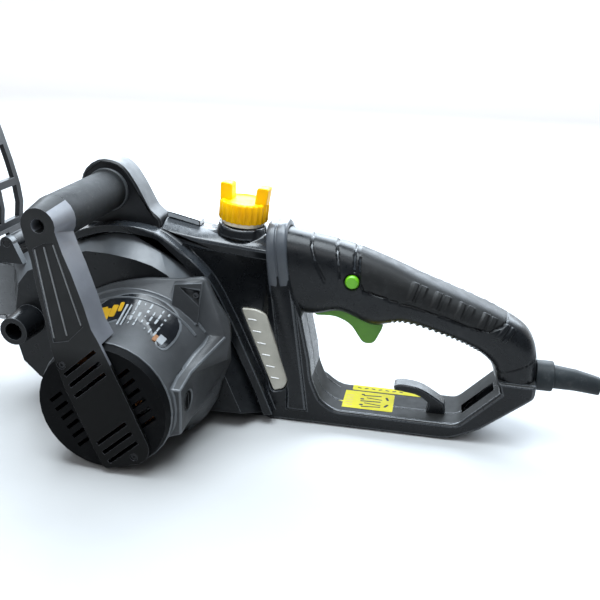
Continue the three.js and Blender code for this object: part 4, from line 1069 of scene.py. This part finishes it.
def ring_points(u, v, r, sides=10):
    """Points on a circle."""
    return [(u + r * math.cos(2 * math.pi * k / sides), v + r * math.sin(2 * math.pi * k / sides))
            for k in range(sides)]


strap = [(-6.6, -1.4), (-4.6, -2.5), (0, -1.8), (4.6, -2.5), (6.6, -1.4), (6.4, 0.8), (4.4, 2.4),
         (0, 1.7), (-4.4, 2.4), (-6.4, 0.8)]
drive = [(-6.4, -1.4), (-3.4, -2.6), (-1.8, -6.4), (0.6, -6.4), (3.6, -2.4), (6.4, -1.4), (6.4, 1.2),
         (3.4, 2.4), (-3.4, 2.4), (-6.4, 1.2)]
cutter = [(-7.0, -1.8), (7.0, -1.8), (7.4, 1.0), (6.4, 4.4), (4.4, 5.0), (3.6, 2.4), (1.6, 1.6),
          (0.2, 2.6), (0.2, 6.2), (-6.2, 5.0), (-7.4, 2.0)]
top_plate = [(0.4, 5.5), (0.4, 6.5), (-6.4, 5.5), (-6.2, 4.6)]


def build_chain():
    """Drive links in the middle, and pairs of straps between them, some of which are cutters."""
    places = along(wrapped(chain_circles, link_line), link_pitch)
    drive_shape = [(u, max(v, -2.6)) for u, v in drive]
    bm = bmesh.new()
    for k, place in enumerate(places):
        if k % 2 == 0:
            plate_mesh(bm, drive_shape, bar_y - drive_half, bar_y + drive_half, place)
            continue
        cuts_left = k % links_per_cutter_pair == 3
        cuts_right = k % links_per_cutter_pair == 7
        left_shape = cutter if cuts_left else strap
        right_shape = cutter if cuts_right else strap
        plate_mesh(bm, left_shape, bar_y + strap_inner, bar_y + strap_outer, place)
        plate_mesh(bm, right_shape, bar_y - strap_outer, bar_y - strap_inner, place)
        if cuts_left:
            plate_mesh(bm, top_plate, bar_y - top_reach_in, bar_y + top_reach_out, place)
        if cuts_right:
            plate_mesh(bm, top_plate, bar_y - top_reach_out, bar_y + top_reach_in, place)
        for u in (-rivet_from_middle, rivet_from_middle):
            rivet = ring_points(u, 0, rivet_radius)
            plate_mesh(bm, rivet, bar_y - rivet_half, bar_y + rivet_half, place)
    bmesh.ops.recalc_face_normals(bm, faces=bm.faces)
    mesh = bpy.data.meshes.new("chain_links")
    bm.to_mesh(mesh)
    bm.free()
    chain = new_object("chain_links", mesh, "chain_steel", "steel")
    soft_edges(chain, 0.18, 1, 40, 1)
    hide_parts("saw_chain")
    on("saw", "dark_steel", chain)


build_chain()
for node, look in (
    ("sprocket_cover", "body_plastic"), ("clamp_knob", "arm_plastic"), ("spiked_bumper", "dark_steel"),
    ("guide_bar", "bar_steel"), ("bar_pad_plate", "steel"),
    ("tension_screw", "steel"), ("tension_pin", "steel"), ("bar_stud", "steel"),
    ("sprocket", "dark_steel"), ("nose_sprocket", "steel"), ("guard_pivot_pin", "black_steel"),
):
    skin_of(node, look, 0.35 if look != "body_plastic" else 0.9)

# ---------------------------------------------------------------- supply cord
skin_of("cord_gland", "cord_rubber", 0.6)


def catmull(points, steps):
    """Points along the centripetal curve through the corners, evenly counted on each span."""
    points = [Vector(p) for p in points]
    ends = [2 * points[0] - points[1], *points, 2 * points[-1] - points[-2]]
    made = []
    for p0, p1, p2, p3 in zip(ends, ends[1:], ends[2:], ends[3:]):
        gap0, gap1, gap2 = ((a - b).length ** 0.5 for a, b in ((p1, p0), (p2, p1), (p3, p2)))
        start = ((p1 - p0) / gap0 - (p2 - p0) / (gap0 + gap1) + (p2 - p1) / gap1) * gap1
        finish = ((p2 - p1) / gap1 - (p3 - p1) / (gap1 + gap2) + (p3 - p2) / gap2) * gap1
        for k in range(steps):
            t = k / steps
            made.append(
                p1 * (2 * t**3 - 3 * t**2 + 1) + start * (t**3 - 2 * t**2 + t)
                + p2 * (3 * t**2 - 2 * t**3) + finish * (t**3 - t**2)
            )
    return [*made, points[-1]]


cord_route = [
    (-372.4, 0, 54), (-392, 0, 49), (-416, -1, 30), (-440, -3, 11), (-470, -8, 4.8),
    (-506, -24, 4.6), (-534, -58, 4.6), (-536, -94, 4.6), (-518, -118, 6), (-494, -122, 12),
    (-470, -122, 16.5),
]
route = [p * MM for p in catmull(cord_route, 8)]
curve = bpy.data.curves.new("mains_cord", "CURVE")
curve.dimensions = "3D"
line = curve.splines.new("POLY")
tucked = 0.007
inside_gland = route[0] + (route[0] - route[1]).normalized() * tucked
inside_plug = route[-1] + (route[-1] - route[-2]).normalized() * tucked
sheath = [inside_gland, *route, inside_plug]
line.points.add(len(sheath) - 1)
for point, place in zip(line.points, sheath):
    point.co = (*place, 1)
curve.bevel_depth = 4 * MM
curve.bevel_resolution = 6
curve.use_fill_caps = True
curve.materials.append(looks["cord_rubber"])
cord = bpy.data.objects.new("mains_cord", curve)
bpy.context.scene.collection.objects.link(cord)
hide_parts("cord")
on("saw", "cord_rubber", cord)
plug = skin_of("plug", "cord_rubber", 0.8)

# ---------------------------------------------------------------- floor
floor_level = -0.2
sweep_start, sweep_radius = -2000, 900
half_floor = 6000
floor_line = [(5000, floor_level), (sweep_start, floor_level)]
floor_line += [
    (sweep_start - sweep_radius * math.sin(a), floor_level + sweep_radius * (1 - math.cos(a)))
    for a in np.radians(np.arange(6, 91, 6))
]
floor_line.append((sweep_start - sweep_radius, 3500))
ground = mesh_of(
    "floor",
    [(x, y, z) for y, z in floor_line for x in (-half_floor, half_floor)],
    [(2 * k, 2 * k + 1, 2 * k + 3, 2 * k + 2) for k in range(len(floor_line) - 1)],
)
smooth(ground, 60)
ground.data.materials.append(floor_look())
